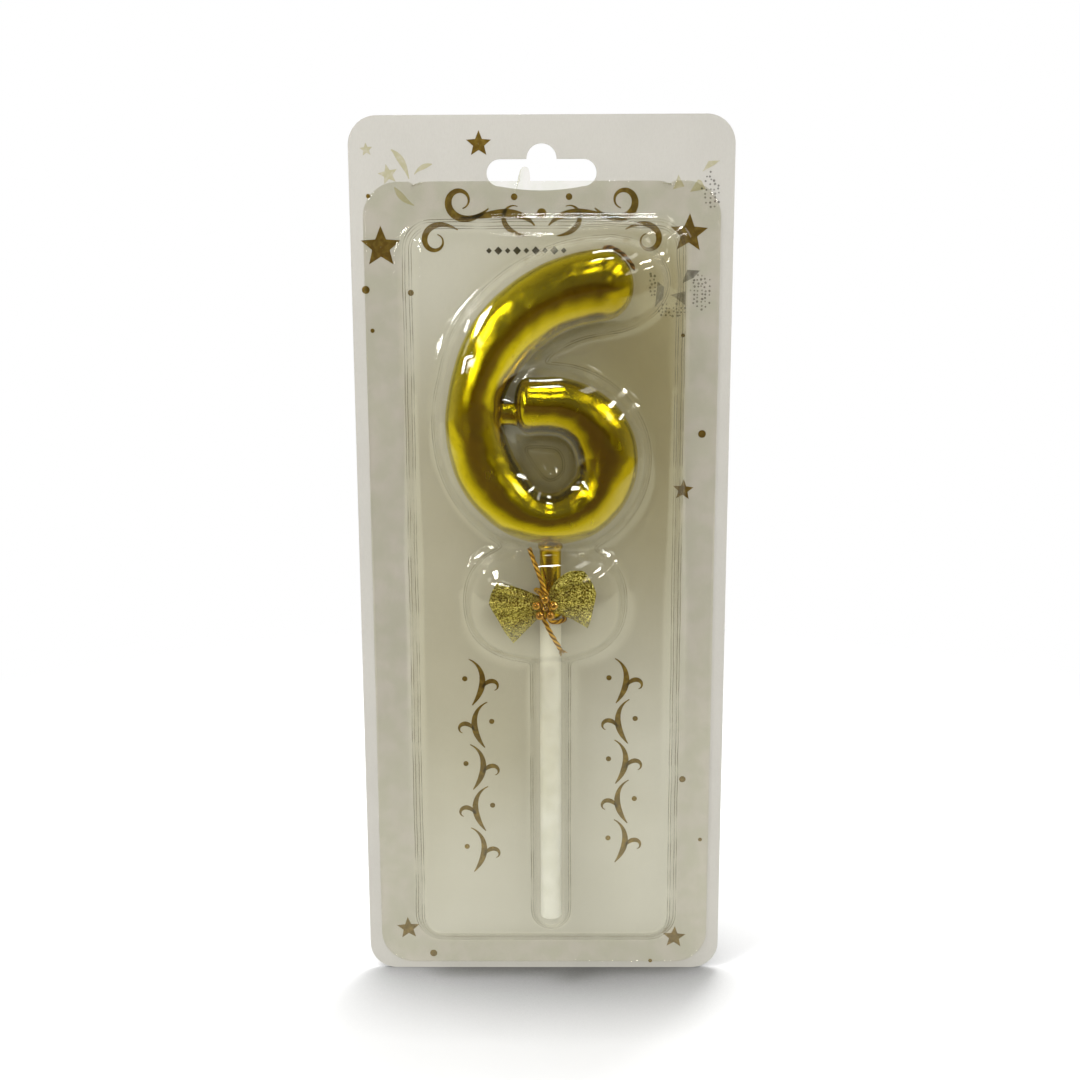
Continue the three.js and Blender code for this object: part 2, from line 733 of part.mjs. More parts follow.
// Tray as a drafted block with a rounded front edge; an inner form is one sheet smaller
function trayForm(inset) {
  const face = TRAY_DEPTH - inset;
  const wallTop = face - TRAY_EDGE_RADIUS;
  const behind = inset > 0 ? -1 : SEAL_GAP;
  const rings = [trayRing(inset, behind), trayRing(inset, SEAL_GAP + SHEET)];
  for (let i = 0; i <= 4; i += 1) {
    const angle = (i / 4) * (Math.PI / 2);
    const drawnIn = inset + TRAY_DRAFT + TRAY_EDGE_RADIUS * (1 - Math.cos(angle));
    rings.push(trayRing(drawnIn, wallTop + TRAY_EDGE_RADIUS * Math.sin(angle)));
  }
  return toSolid(loft(rings));
}

// Bubble that follows the numeral's stroke
function numeralBubble(inset) {
  const margin = NUMERAL_MARGIN - inset;
  const halfWidthAt = (share) => strokeWidth(share) / 2 + margin;
  const base = TRAY_DEPTH - inset;
  const rise = NUMERAL_FRONT + BUBBLE_GAP + SHEET - TRAY_DEPTH;
  const list = stations(
    numeralPath(),
    DOME_STEPS,
    halfWidthAt,
    BLUNT_END_LENGTH + margin,
    halfWidthAt(1),
    DOME_ROUNDNESS,
  );
  return loftInHalves(list.map((at) => domeRing(at, base, rise)));
}

// Bubble over the bow: an oval that closes as it rises
function bowBubble(inset) {
  const base = TRAY_DEPTH - inset;
  const rise = BEAD_DEPTH + PETAL_DIAMETER / 2 + BUBBLE_GAP + SHEET - TRAY_DEPTH;
  const halfWidth = Math.max(LEFT_WING_LENGTH, RIGHT_WING_LENGTH) + BOW_SIDE_MARGIN - inset;
  const halfHeight = TAIL_LENGTH + BOW_FOOT_MARGIN - inset;
  const sides = 32;
  const ring = (scale, depth) =>
    Array.from({ length: sides }, (_, i) => {
      const [wide, high] = squared(((i + 0.5) / sides) * 2 * Math.PI, DOME_ROUNDNESS);
      return place(
        BOW_X + wide * scale * halfWidth,
        depth,
        BOW_HEIGHT + high * scale * halfHeight,
      );
    });
  const rings = [ring(1, base - BUBBLE_SINK_DEPTH)];
  const levels = 8;
  for (let i = 0; i < levels; i += 1) {
    const [scale, height] = squared((i / levels) * (Math.PI / 2), BOW_DOME_ROUNDNESS);
    rings.push(ring(scale, base + rise * height));
  }
  return toSolid(loft(rings));
}

// Channel over the stick and the neck, round at its foot, which ends inside the numeral's bubble
function stemChannel(inset) {
  const base = TRAY_DEPTH - inset;
  const rise = STEM_DEPTH + STEM_DIAMETER / 2 + BUBBLE_GAP + SHEET - TRAY_DEPTH;
  const half = STEM_DIAMETER / 2 + CHANNEL_MARGIN - inset;
  const path = new THREE.Path();
  path.moveTo(STEM_X, NUMERAL_FOOT);
  path.lineTo(STEM_X, STICK_FOOT_HEIGHT - CHANNEL_FOOT_GAP + half / 2);
  const list = stations(path, 2, () => half, 0, half, DOME_ROUNDNESS);
  return toSolid(loft(list.map((at) => domeRing(at, base, rise))));
}

function blister() {
  const forms = [trayForm, numeralBubble, bowBubble, stemChannel];
  const flange = toSolid(plate(flangeOutline(), SEAL_GAP, SEAL_GAP + SHEET));
  const outer = forms.reduce((body, form) => body.add(form(0)), flange);
  return toGeometry(forms.reduce((body, form) => body.subtract(form(SHEET)), outer));
}

function named(name, geometry, material) {
  const mesh = new THREE.Mesh(geometry, material);
  mesh.name = name;
  return mesh;
}

const bow = new THREE.Group();
bow.add(named('bow_ribbon', bowRibbon(), MATERIALS.ribbon));
bow.add(named('tie_cord', tieCord(), MATERIALS.cord));
for (let i = 0; i < PETAL_COUNT; i += 1) {
  const centre = beadCentre(PETAL_RING_RADIUS, i / PETAL_COUNT);
  bow.add(named(`petal_bead_${i + 1}`, bead(PETAL_DIAMETER, centre), MATERIALS.bead));
}
bow.add(named('centre_bead', bead(CENTRE_BEAD_DIAMETER, beadCentre(0, 0)), MATERIALS.bead));

const candle = new THREE.Group();
candle.add(named('number_six', wax(), MATERIALS.numeral));
candle.add(named('wick', wick(), MATERIALS.wick));
candle.add(named('neck_post', neckPost(), MATERIALS.neck));
candle.add(named('stick', stickTube(), MATERIALS.stick));
candle.add(bow);

const pack = new THREE.Group();
pack.add(named('backing_card', backingCard(), MATERIALS.card));
pack.add(named('blister_shell', blister(), MATERIALS.blister));
pack.add(candle);
pack.position.set(0, -CARD_THICKNESS / 2, -HANG_HEIGHT);

const root = new THREE.Group();
root.add(pack);

export default root;
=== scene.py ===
"""Looks of a carded number candle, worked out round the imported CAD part.

Sizes inside the classes are millimetres in card coordinates: x across the card, depth forward
from its front face and height up from its bottom edge. CardFrame turns them into metres in
the frame's own coordinates.
"""

from __future__ import annotations

import logging
import math
from dataclasses import dataclass, field
from enum import Enum
from functools import reduce

import bpy
import numpy as np
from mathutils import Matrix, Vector

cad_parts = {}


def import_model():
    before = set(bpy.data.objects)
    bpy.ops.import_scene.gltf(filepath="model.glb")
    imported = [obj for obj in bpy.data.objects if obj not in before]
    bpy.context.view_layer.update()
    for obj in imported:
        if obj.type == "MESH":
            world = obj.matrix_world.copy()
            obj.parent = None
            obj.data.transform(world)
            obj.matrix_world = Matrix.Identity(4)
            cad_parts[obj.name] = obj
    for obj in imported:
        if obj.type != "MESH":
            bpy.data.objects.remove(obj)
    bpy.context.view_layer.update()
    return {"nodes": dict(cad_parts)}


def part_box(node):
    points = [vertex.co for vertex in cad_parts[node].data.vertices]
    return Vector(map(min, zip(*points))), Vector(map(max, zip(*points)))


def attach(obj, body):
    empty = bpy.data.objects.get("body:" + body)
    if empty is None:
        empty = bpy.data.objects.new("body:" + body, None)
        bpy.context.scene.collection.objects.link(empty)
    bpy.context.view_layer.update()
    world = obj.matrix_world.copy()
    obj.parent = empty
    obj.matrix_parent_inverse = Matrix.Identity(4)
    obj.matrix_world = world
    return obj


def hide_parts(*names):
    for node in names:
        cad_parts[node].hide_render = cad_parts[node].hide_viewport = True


LOG = logging.getLogger("number_candle")
MM = 0.001
SEED = 6
# Share of a right angle at which a cap ends, so that its last ring isn't a point
NEARLY = 0.995
# A direction that no line in the pack starts along
SKEW = (0.31, 0.9, 0.3)

Array = np.ndarray
Material = bpy.types.Material
Node = bpy.types.Node
Object = bpy.types.Object
Socket = bpy.types.NodeSocket
Pair = tuple[float, float]
Triple = tuple[int, int, int]
Colour = tuple[float, float, float, float]
# Where a window starts and is full, at either end
Band = tuple[Pair, Pair]
# A place or an angle and the colour there
Rows = tuple[tuple[float, tuple[float, float, float]], ...]
# Three numbers to a row
Places = tuple[tuple[float, float, float], ...]


class Body(Enum):
    """The CAD bodies that pieces ride on."""

    CARD = "card"
    BLISTER = "blister"
    CANDLE = "candle"
    BOW = "bow"


class Slot(Enum):
    """Material slots."""

    CARD = "card"
    BLISTER = "blister"
    WAX = "gold_wax"
    WICK = "wick"
    NECK = "gold_neck"
    STICK = "stick"
    RIBBON = "ribbon"
    CORD = "cord"
    BEAD = "bead"


# ---- numbers and places


def linear(shade: Triple, share: float = 1.0) -> Colour:
    """Turns an sRGB shade of 0 to 255 into a linear colour.

    Args:
        shade: Red, green and blue.
        share: What the linear colour is multiplied by.

    Returns:
        The colour with an alpha of 1.
    """
    parts = np.asarray(shade, float) / 255
    low = parts / 12.92
    high = ((parts + 0.055) / 1.055) ** 2.4
    red, green, blue = np.where(parts <= 0.04045, low, high) * share
    return (float(red), float(green), float(blue), 1.0)


def smooth_step(value: Array, low: Array | float, high: Array | float) -> Array:
    """Rises from 0 at low to 1 at high along 3t^2 - 2t^3."""
    share = np.clip((value - low) / (high - low), 0, 1)
    return share * share * (3 - 2 * share)


def swell(share: Array, table: tuple[Pair, ...]) -> Array:
    """Reads a table of (share, factor) with a smooth step between its rows.

    Args:
        share: Where to read it, from 0 to 1.
        table: Rows in rising order of share.

    Returns:
        The factor at each share.
    """
    shares, factors = np.array(table).T
    row = np.clip(np.searchsorted(shares, share, side="left"), 1, len(shares) - 1)
    along = smooth_step(share, shares[row - 1], shares[row])
    return factors[row - 1] + (factors[row] - factors[row - 1]) * along


def squared(angle: Array, roundness: float) -> tuple[Array, Array]:
    """Cosine and sine raised to 2/roundness with their signs kept: a superellipse.

    Args:
        angle: Where round it, in radians.
        roundness: 2 for an ellipse, more for a squarer one.

    Returns:
        The two coordinates.
    """
    power = 2 / roundness
    cosine, sine = np.cos(angle), np.sin(angle)
    return (
        np.sign(cosine) * np.abs(cosine) ** power,
        np.sign(sine) * np.abs(sine) ** power,
    )


def smooth_curve(points: Array, count: int) -> Array:
    """Passes a smooth curve through points and spaces new ones evenly along it.

    Between two points it is the cubic whose slopes are half the chord of their neighbours.

    Args:
        points: Points to pass through, one to a row.
        count: How many evenly spaced points come back.

    Returns:
        The new points.
    """
    ends = np.vstack([2 * points[0] - points[1], points, 2 * points[-1] - points[-2]])
    slopes = (ends[2:] - ends[:-2]) / 2
    step = np.linspace(0, 1, 24, endpoint=False)[:, None, None]
    start, finish = points[:-1], points[1:]
    dense = (
        (2 * step**3 - 3 * step**2 + 1) * start
        + (step**3 - 2 * step**2 + step) * slopes[:-1]
        + (3 * step**2 - 2 * step**3) * finish
        + (step**3 - step**2) * slopes[1:]
    )
    dense = dense.transpose(1, 0, 2).reshape(-1, points.shape[1])
    dense = np.vstack([dense, points[-1]])
    reach = np.concatenate([[0], np.cumsum(np.linalg.norm(np.diff(dense, axis=0), axis=1))])
    wanted = np.linspace(0, reach[-1], count)
    return np.stack([np.interp(wanted, reach, column) for column in dense.T], axis=1)


@dataclass(frozen=True)
class CardFrame:
    """Where the card stands, in metres: y of its front face and z of its bottom edge."""

    front: float
    foot: float

    @classmethod
    def of_card(cls) -> CardFrame:
        """Reads the card's own CAD box."""
        low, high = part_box("backing_card")
        return cls(front=low.y, foot=low.z)

    def place(self, x: Array, depth: Array, height: Array) -> Array:
        """Turns card coordinates in millimetres into points in metres.

        Args:
            x: Across the card.
            depth: Forward from its front face.
            height: Up from its bottom edge.

        Returns:
            Points, with x, y and z on the last axis.
        """
        x, depth, height = np.broadcast_arrays(x, depth, height)
        return np.stack([x * MM, self.front - depth * MM, self.foot + height * MM], axis=-1)


# ---- meshes


@dataclass
class Form:
    """Points and faces of a piece before they are a mesh.

    quad_lay holds each quad corner's place on the piece's own map.
    """

    points: Array
    quads: Array
    quad_lay: Array
    triangles: Array = field(default_factory=lambda: np.zeros((0, 3), int))

    @classmethod
    def grid(
        cls,
        points: Array,
        ring: bool = False,
        capped: bool = False,
        folded: bool = False,
        lay: Pair = (1.0, 1.0),
    ) -> Form:
        """Joins a grid of points with quads.

        Args:
            points: A grid of points, rows by columns by 3.
            ring: Closes each row on itself.
            capped: Closes the first and the last row with a fan about its middle.
            folded: Closes them with a strip between the two halves of the row.
            lay: How far the piece's own map runs across the columns and along the rows.

        Returns:
            The form, with its faces outwards where it is closed.
        """
        rows, columns = points.shape[:2]
        index = np.arange(rows * columns).reshape(rows, columns)
        if ring:
            index = np.concatenate([index, index[:, :1]], axis=1)
        corners = (index[:-1, :-1], index[:-1, 1:], index[1:, 1:], index[1:, :-1])
        quads = np.stack(corners, axis=-1).reshape(-1, 4)
        across = np.linspace(0, lay[0], index.shape[1])
        along = np.linspace(0, lay[1], rows)
        spot = np.stack(np.meshgrid(across, along), axis=-1)
        spots = (spot[:-1, :-1], spot[:-1, 1:], spot[1:, 1:], spot[1:, :-1])
        quad_lay = np.stack(spots, axis=-2).reshape(-1, 4, 2)
        flat = points.reshape(-1, 3)
        form = cls(flat, quads, quad_lay)
        if capped:
            form.cap(index[0], points[0].mean(axis=0), False)
            form.cap(index[-1], points[-1].mean(axis=0), True)
        if folded:
            form.fold(index[0, :-1], False)
            form.fold(index[-1, :-1], True)
        return form.facing_out() if capped or folded else form

    @classmethod
    def closed(cls, points: Array) -> Form:
        """A closed form from a grid: each row joined on itself, both ends capped."""
        return cls.grid(points, ring=True, capped=True)

    def cap(self, rim: Array, middle: Array, turned: bool) -> None:
        """Adds a fan of triangles between a rim and a middle point.

        Args:
            rim: Indices round the rim, the first one repeated at the end.
            middle: The middle point.
            turned: Which way round the triangles go.
        """
        centre = len(self.points)
        self.points = np.vstack([self.points, middle])
        first, second = (rim[:-1], rim[1:]) if turned else (rim[1:], rim[:-1])
        fan = np.stack([first, second, np.full(len(first), centre)], axis=1)
        self.triangles = np.vstack([self.triangles, fan])

    def fold(self, rim: Array, turned: bool) -> None:
        """Adds a strip of quads between the two halves of a closed row.

        Args:
            rim: Indices round the row, whose second half runs back over the first.
            turned: Which way round the quads go.
        """
        half = len(rim) // 2
        near, far = rim[:half], rim[half:][::-1]
        strip = np.stack([near[:-1], far[:-1], far[1:], near[1:]], axis=1)
        strip = strip[:, ::-1] if turned else strip
        self.quads = np.vstack([self.quads, strip])
        self.quad_lay = np.vstack([self.quad_lay, np.zeros((len(strip), 4, 2))])

    def facing_out(self) -> Form:
        """Turns every face round where the signed volume of the closed form is negative.

        The volume is the sum of a . (b x c) over its triangles.

        Returns:
            The form, facing out.
        """
        corners = self.points[self.quads]
        halves = np.concatenate([corners[:, [0, 1, 2]], corners[:, [0, 2, 3]]])
        every = np.concatenate([halves, self.points[self.triangles]])
        volume = np.einsum("ij,ij->i", every[:, 0], np.cross(every[:, 1], every[:, 2])).sum()
        if volume >= 0:
            return self
        return Form(self.points, self.quads[:, ::-1], self.quad_lay[:, ::-1], self.triangles[:, ::-1])

    @staticmethod
    def merged(forms: list[Form]) -> Form:
        """Puts several forms into one.

        Args:
            forms: The forms.

        Returns:
            One form with all their points and faces.
        """
        starts = np.cumsum([0] + [len(form.points) for form in forms[:-1]])
        return Form(
            np.concatenate([form.points for form in forms]),
            np.concatenate([form.quads + start for form, start in zip(forms, starts)]),
            np.concatenate([form.quad_lay for form in forms]),
            np.concatenate([form.triangles + start for form, start in zip(forms, starts)]),
        )

    def piece(self, name: str, material: Material, smooth: bool = True) -> Object:
        """Makes the form an object in the scene.

        Args:
            name: The piece's name.
            material: Its finish.
            smooth: Shades it smooth.

        Returns:
            The object, with its place in its mesh.
        """
        mesh = bpy.data.meshes.new(name)
        mesh.from_pydata(self.points, [], [*self.quads.tolist(), *self.triangles.tolist()])
        lay = np.concatenate([self.quad_lay.reshape(-1, 2), np.zeros((3 * len(self.triangles), 2))])
        mesh.uv_layers.new(name="lay").data.foreach_set("uv", lay.ravel())
        mesh.polygons.foreach_set("use_smooth", np.full(len(mesh.polygons), smooth))
        mesh.materials.append(material)
        mesh.update()
        piece = bpy.data.objects.new(name, mesh)
        bpy.context.scene.collection.objects.link(piece)
        return piece


def round_steps(count: int) -> Array:
    """Angles of evenly spaced points round a circle, in radians."""
    return np.linspace(0, 2 * math.pi, count, endpoint=False)


def along_line(points: Array) -> Array:
    """Unit directions along a line of points."""
    directions = np.gradient(points, axis=0)
    return directions / np.linalg.norm(directions, axis=1, keepdims=True)


def carried_frames(points: Array) -> tuple[Array, Array]:
    """Two crosswise directions at each point of a line, which turn as little as they can.

    Each step takes the last crosswise direction and drops the part of it along the line.

    Args:
        points: Points of the line.

    Returns:
        The two directions at each point.
    """
    directions = along_line(points)
    cross = np.zeros_like(points)
    start = np.cross(directions[0], SKEW)
    cross[0] = start / np.linalg.norm(start)
    for i in range(1, len(points)):
        kept = cross[i - 1] - directions[i] * (cross[i - 1] @ directions[i])
        cross[i] = kept / np.linalg.norm(kept)
    return cross, np.cross(directions, cross)


def tube(points: Array, radius: Array, sides: int) -> Array:
    """Carries a circle along a line: point + radius (cos a U + sin a V).

    Args:
        points: Points of the line, in metres.
        radius: Radius at each point, or at each point and side.
        sides: Points round the circle.

    Returns:
        A grid of points, one row to a point of the line.
    """
    first, second = carried_frames(points)
    angle = round_steps(sides)[None, :]
    reach = radius if np.ndim(radius) == 2 else np.reshape(radius, (-1, 1))
    offset = (reach * np.cos(angle))[..., None] * first[:, None]
    offset = offset + (reach * np.sin(angle))[..., None] * second[:, None]
    return points[:, None] + offset


def turned_shape(where: CardFrame, axis: Pair, profile: Array, sides: int) -> Array:
    """Turns a profile of (radius, height) about an upright axis.

    Args:
        where: The card's place.
        axis: x and depth of the axis.
        profile: Radius and height, in millimetres, one pair to a row.
        sides: Points round the axis.

    Returns:
        A grid of points, one row to a point of the profile.
    """
    angle = round_steps(sides)
    radius, height = profile[:, :1], profile[:, 1:]
    return where.place(axis[0] + radius * np.sin(angle), axis[1] + radius * np.cos(angle), height)


def dressed(piece: Object, body: Body, slot: Slot, *nodes: str) -> Object:
    """Makes a piece ride on its body, hides the CAD nodes that it stands for, and reports it.

    Args:
        piece: The piece.
        body: The body it moves with.
        slot: The slot of its finish; not used.
        nodes: The CAD nodes it stands for.

    Returns:
        The same piece.
    """
    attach(piece, body.value)
    if nodes:
        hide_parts(*nodes)
    LOG.info("%s: %d faces on %s", piece.name, len(piece.data.polygons), body.value)
    return piece


# ---- finishes


class Graph:
    """Adds nodes to one tree."""

    def __init__(self, tree: bpy.types.NodeTree) -> None:
        """Clears the tree and keeps it.

        Args:
            tree: A material's or a world's node tree.
        """
        self.tree = tree
        tree.nodes.clear()

    def add(self, kind: str, sockets: dict | None = None, **settings: object) -> Node:
        """Adds one node.

        Args:
            kind: The node's Blender type.
            sockets: Values or links for its inputs, by name or number.
            settings: Its own properties.

        Returns:
            The node.
        """
        node = self.tree.nodes.new(kind)
        for key, value in settings.items():
            setattr(node, key, value)
        for key, value in (sockets or {}).items():
            if isinstance(value, bpy.types.NodeSocket):
                self.tree.links.new(value, node.inputs[key])
            else:
                node.inputs[key].default_value = value
        return node

    def maths(self, operation: str, first: object, second: object = 0.0, clamp: bool = False) -> Socket:
        """Works out one number from two."""
        node = self.add("ShaderNodeMath", {0: first, 1: second}, operation=operation, use_clamp=clamp)
        return node.outputs[0]

    def times(self, first: object, second: object) -> Socket:
        """First number times the second."""
        return self.maths("MULTIPLY", first, second)

    def plus(self, first: object, second: object, clamp: bool = False) -> Socket:
        """First number plus the second."""
        return self.maths("ADD", first, second, clamp)

    def less(self, first: object, second: object) -> Socket:
        """First number less the second."""
        return self.maths("SUBTRACT", first, second)

    def highest(self, values: list[Socket]) -> Socket:
        """The highest of several numbers."""
        return reduce(lambda first, second: self.maths("MAXIMUM", first, second), values)

    def vector(self, operation: str, first: object, second: object) -> Socket:
        """Works out one vector from two."""
        return self.add("ShaderNodeVectorMath", {0: first, 1: second}, operation=operation).outputs[0]

    def scaled(self, vector: object, share: object) -> Socket:
        """A vector times a number."""
        return self.add("ShaderNodeVectorMath", {0: vector, "Scale": share}, operation="SCALE").outputs[0]

    def gap(self, first: object, second: object) -> Socket:
        """Distance between two places."""
        node = self.add("ShaderNodeVectorMath", {0: first, 1: second}, operation="DISTANCE")
        return node.outputs["Value"]

    def apart(self, vector: Socket) -> Node:
        """Parts a vector by axis."""
        return self.add("ShaderNodeSeparateXYZ", {0: vector})

    def ramp(self, factor: Socket, stops: list[tuple[float, Colour]]) -> Socket:
        """Reads a colour between stops.

        Args:
            factor: Where to read it, from 0 to 1.
            stops: Rows of place and colour.

        Returns:
            The colour.
        """
        node = self.add("ShaderNodeValToRGB", {0: factor})
        elements = node.color_ramp.elements
        while len(elements) < len(stops):
            elements.new(1.0)
        for element, (spot, colour) in zip(elements, stops):
            element.position = spot
            element.color = colour
        return node.outputs[0]

    def window(self, factor: Socket, low: float, high: float) -> Socket:
        """Rises smoothly from 0 at low to 1 at high, or falls where high is the smaller."""
        sockets = {"Value": factor, "From Min": low, "From Max": high}
        return self.add("ShaderNodeMapRange", sockets, interpolation_type="SMOOTHSTEP").outputs[0]

    def blend(self, factor: object, first: object, second: object, way: str = "MIX") -> Socket:
        """Mixes two colours."""
        node = self.add("ShaderNodeMix", {0: factor, 6: first, 7: second}, data_type="RGBA", blend_type=way)
        return node.outputs[2]

    def mixed(self, share: Socket, first: Socket, second: Socket) -> Socket:
        """Mixes two shaders."""
        return self.add("ShaderNodeMixShader", {0: share, 1: first, 2: second}).outputs[0]

    def here(self, stretch: tuple[float, float, float] = (1, 1, 1)) -> Socket:
        """Object coordinates in metres, each scaled by a number.

        Args:
            stretch: A number for each axis.

        Returns:
            The coordinates.
        """
        spot = self.add("ShaderNodeTexCoord").outputs["Object"]
        if stretch == (1, 1, 1):
            return spot
        return self.add("ShaderNodeMapping", {"Vector": spot, "Scale": stretch}).outputs[0]

    def lay(self) -> Node:
        """The piece's own map, parted by axis."""
        return self.apart(self.add("ShaderNodeUVMap", uv_map="lay").outputs[0])

    def noise(self, scale: float, detail: float = 3.0, spot: Socket | None = None) -> Socket:
        """Soft noise from 0 to 1 whose grain is 1/scale metres."""
        sockets = {"Vector": spot or self.here(), "Scale": scale, "Detail": detail}
        return self.add("ShaderNodeTexNoise", sockets).outputs[0]

    def patches(
        self, scale: float, detail: float, low: float, high: float, spot: Socket | None = None
    ) -> Socket:
        """Patches of 0 and 1 with soft edges: noise drawn apart between low and high."""
        return self.window(self.noise(scale, detail, spot), low, high)

    def bump(self, height: Socket, rise: float, share: float = 1.0) -> Socket:
        """A normal from a height of 0 to 1 that stands rise metres proud."""
        sockets = {"Strength": share, "Distance": rise, "Height": height}
        return self.add("ShaderNodeBump", sockets).outputs[0]

    def finish(self, shader: Socket) -> None:
        """Joins a shader to the material's output."""
        self.add("ShaderNodeOutputMaterial", {"Surface": shader})

    def coat(self, sockets: dict) -> None:
        """Makes the whole material one principled surface."""
        self.finish(self.add("ShaderNodeBsdfPrincipled", sockets).outputs[0])


def new_material(name: str) -> tuple[Material, Graph]:
    """Makes a material and the graph that fills it.

    Args:
        name: The material's name.

    Returns:
        The material and its graph.
    """
    material = bpy.data.materials.new(name)
    material.use_nodes = True
    return material, Graph(material.node_tree)


class Finish:
    """A finish fills the graph of a material that has its name."""

    name: str

    def fill(self, graph: Graph) -> None:
        """Adds its nodes."""
        raise NotImplementedError

    def material(self) -> Material:
        """Makes a material of the finish.

        Returns:
            The material.
        """
        material, graph = new_material(self.name)
        self.fill(graph)
        return material


@dataclass(frozen=True)
class CoatedCard(Finish):
    """White coated card: faintly clouded, with a fibre grain and a soft sheen."""

    name: str = "coated_card"
    pale: Triple = (197, 194, 186)
    cloud: Triple = (193, 190, 182)
    fibre: Triple = (120, 112, 92)
    fibre_tint: float = 0.06
    fibre_rise: float = 0.000012
    roughness: float = 0.48
    sheen: float = 0.35

    def fill(self, graph: Graph) -> None:
        """Adds its nodes.

        Args:
            graph: Its graph.
        """
        fibres = graph.noise(5200, 2, graph.here((1, 1, 0.25)))
        colour = graph.blend(graph.patches(38, 4, 0.35, 0.7), linear(self.pale), linear(self.cloud))
        tinted = graph.blend(self.fibre_tint, colour, linear(self.fibre))
        sockets = {
            "Base Color": graph.blend(graph.window(fibres, 0.3, 0.8), colour, tinted),
            "Roughness": self.roughness,
            "Specular IOR Level": self.sheen,
            "Normal": graph.bump(fibres, self.fibre_rise, 0.5),
        }
        graph.coat(sockets)


@dataclass(frozen=True)
class PrintInk(Finish):
    """Flat ink on the card, in its thin shade where less of it took, with a grain."""

    name: str
    shade: Triple
    thin: Triple
    metallic: float = 0.0
    roughness: float = 0.42
    rise: float = 0.00001

    def fill(self, graph: Graph) -> None:
        """Adds its nodes.

        Args:
            graph: Its graph.
        """
        thinned = graph.patches(900, 5, 0.42, 0.72)
        sockets = {
            "Base Color": graph.blend(thinned, linear(self.shade), linear(self.thin)),
            "Metallic": self.metallic,
            "Roughness": self.roughness,
            "Normal": graph.bump(graph.noise(3000, 2), self.rise, 0.4),
        }
        graph.coat(sockets)


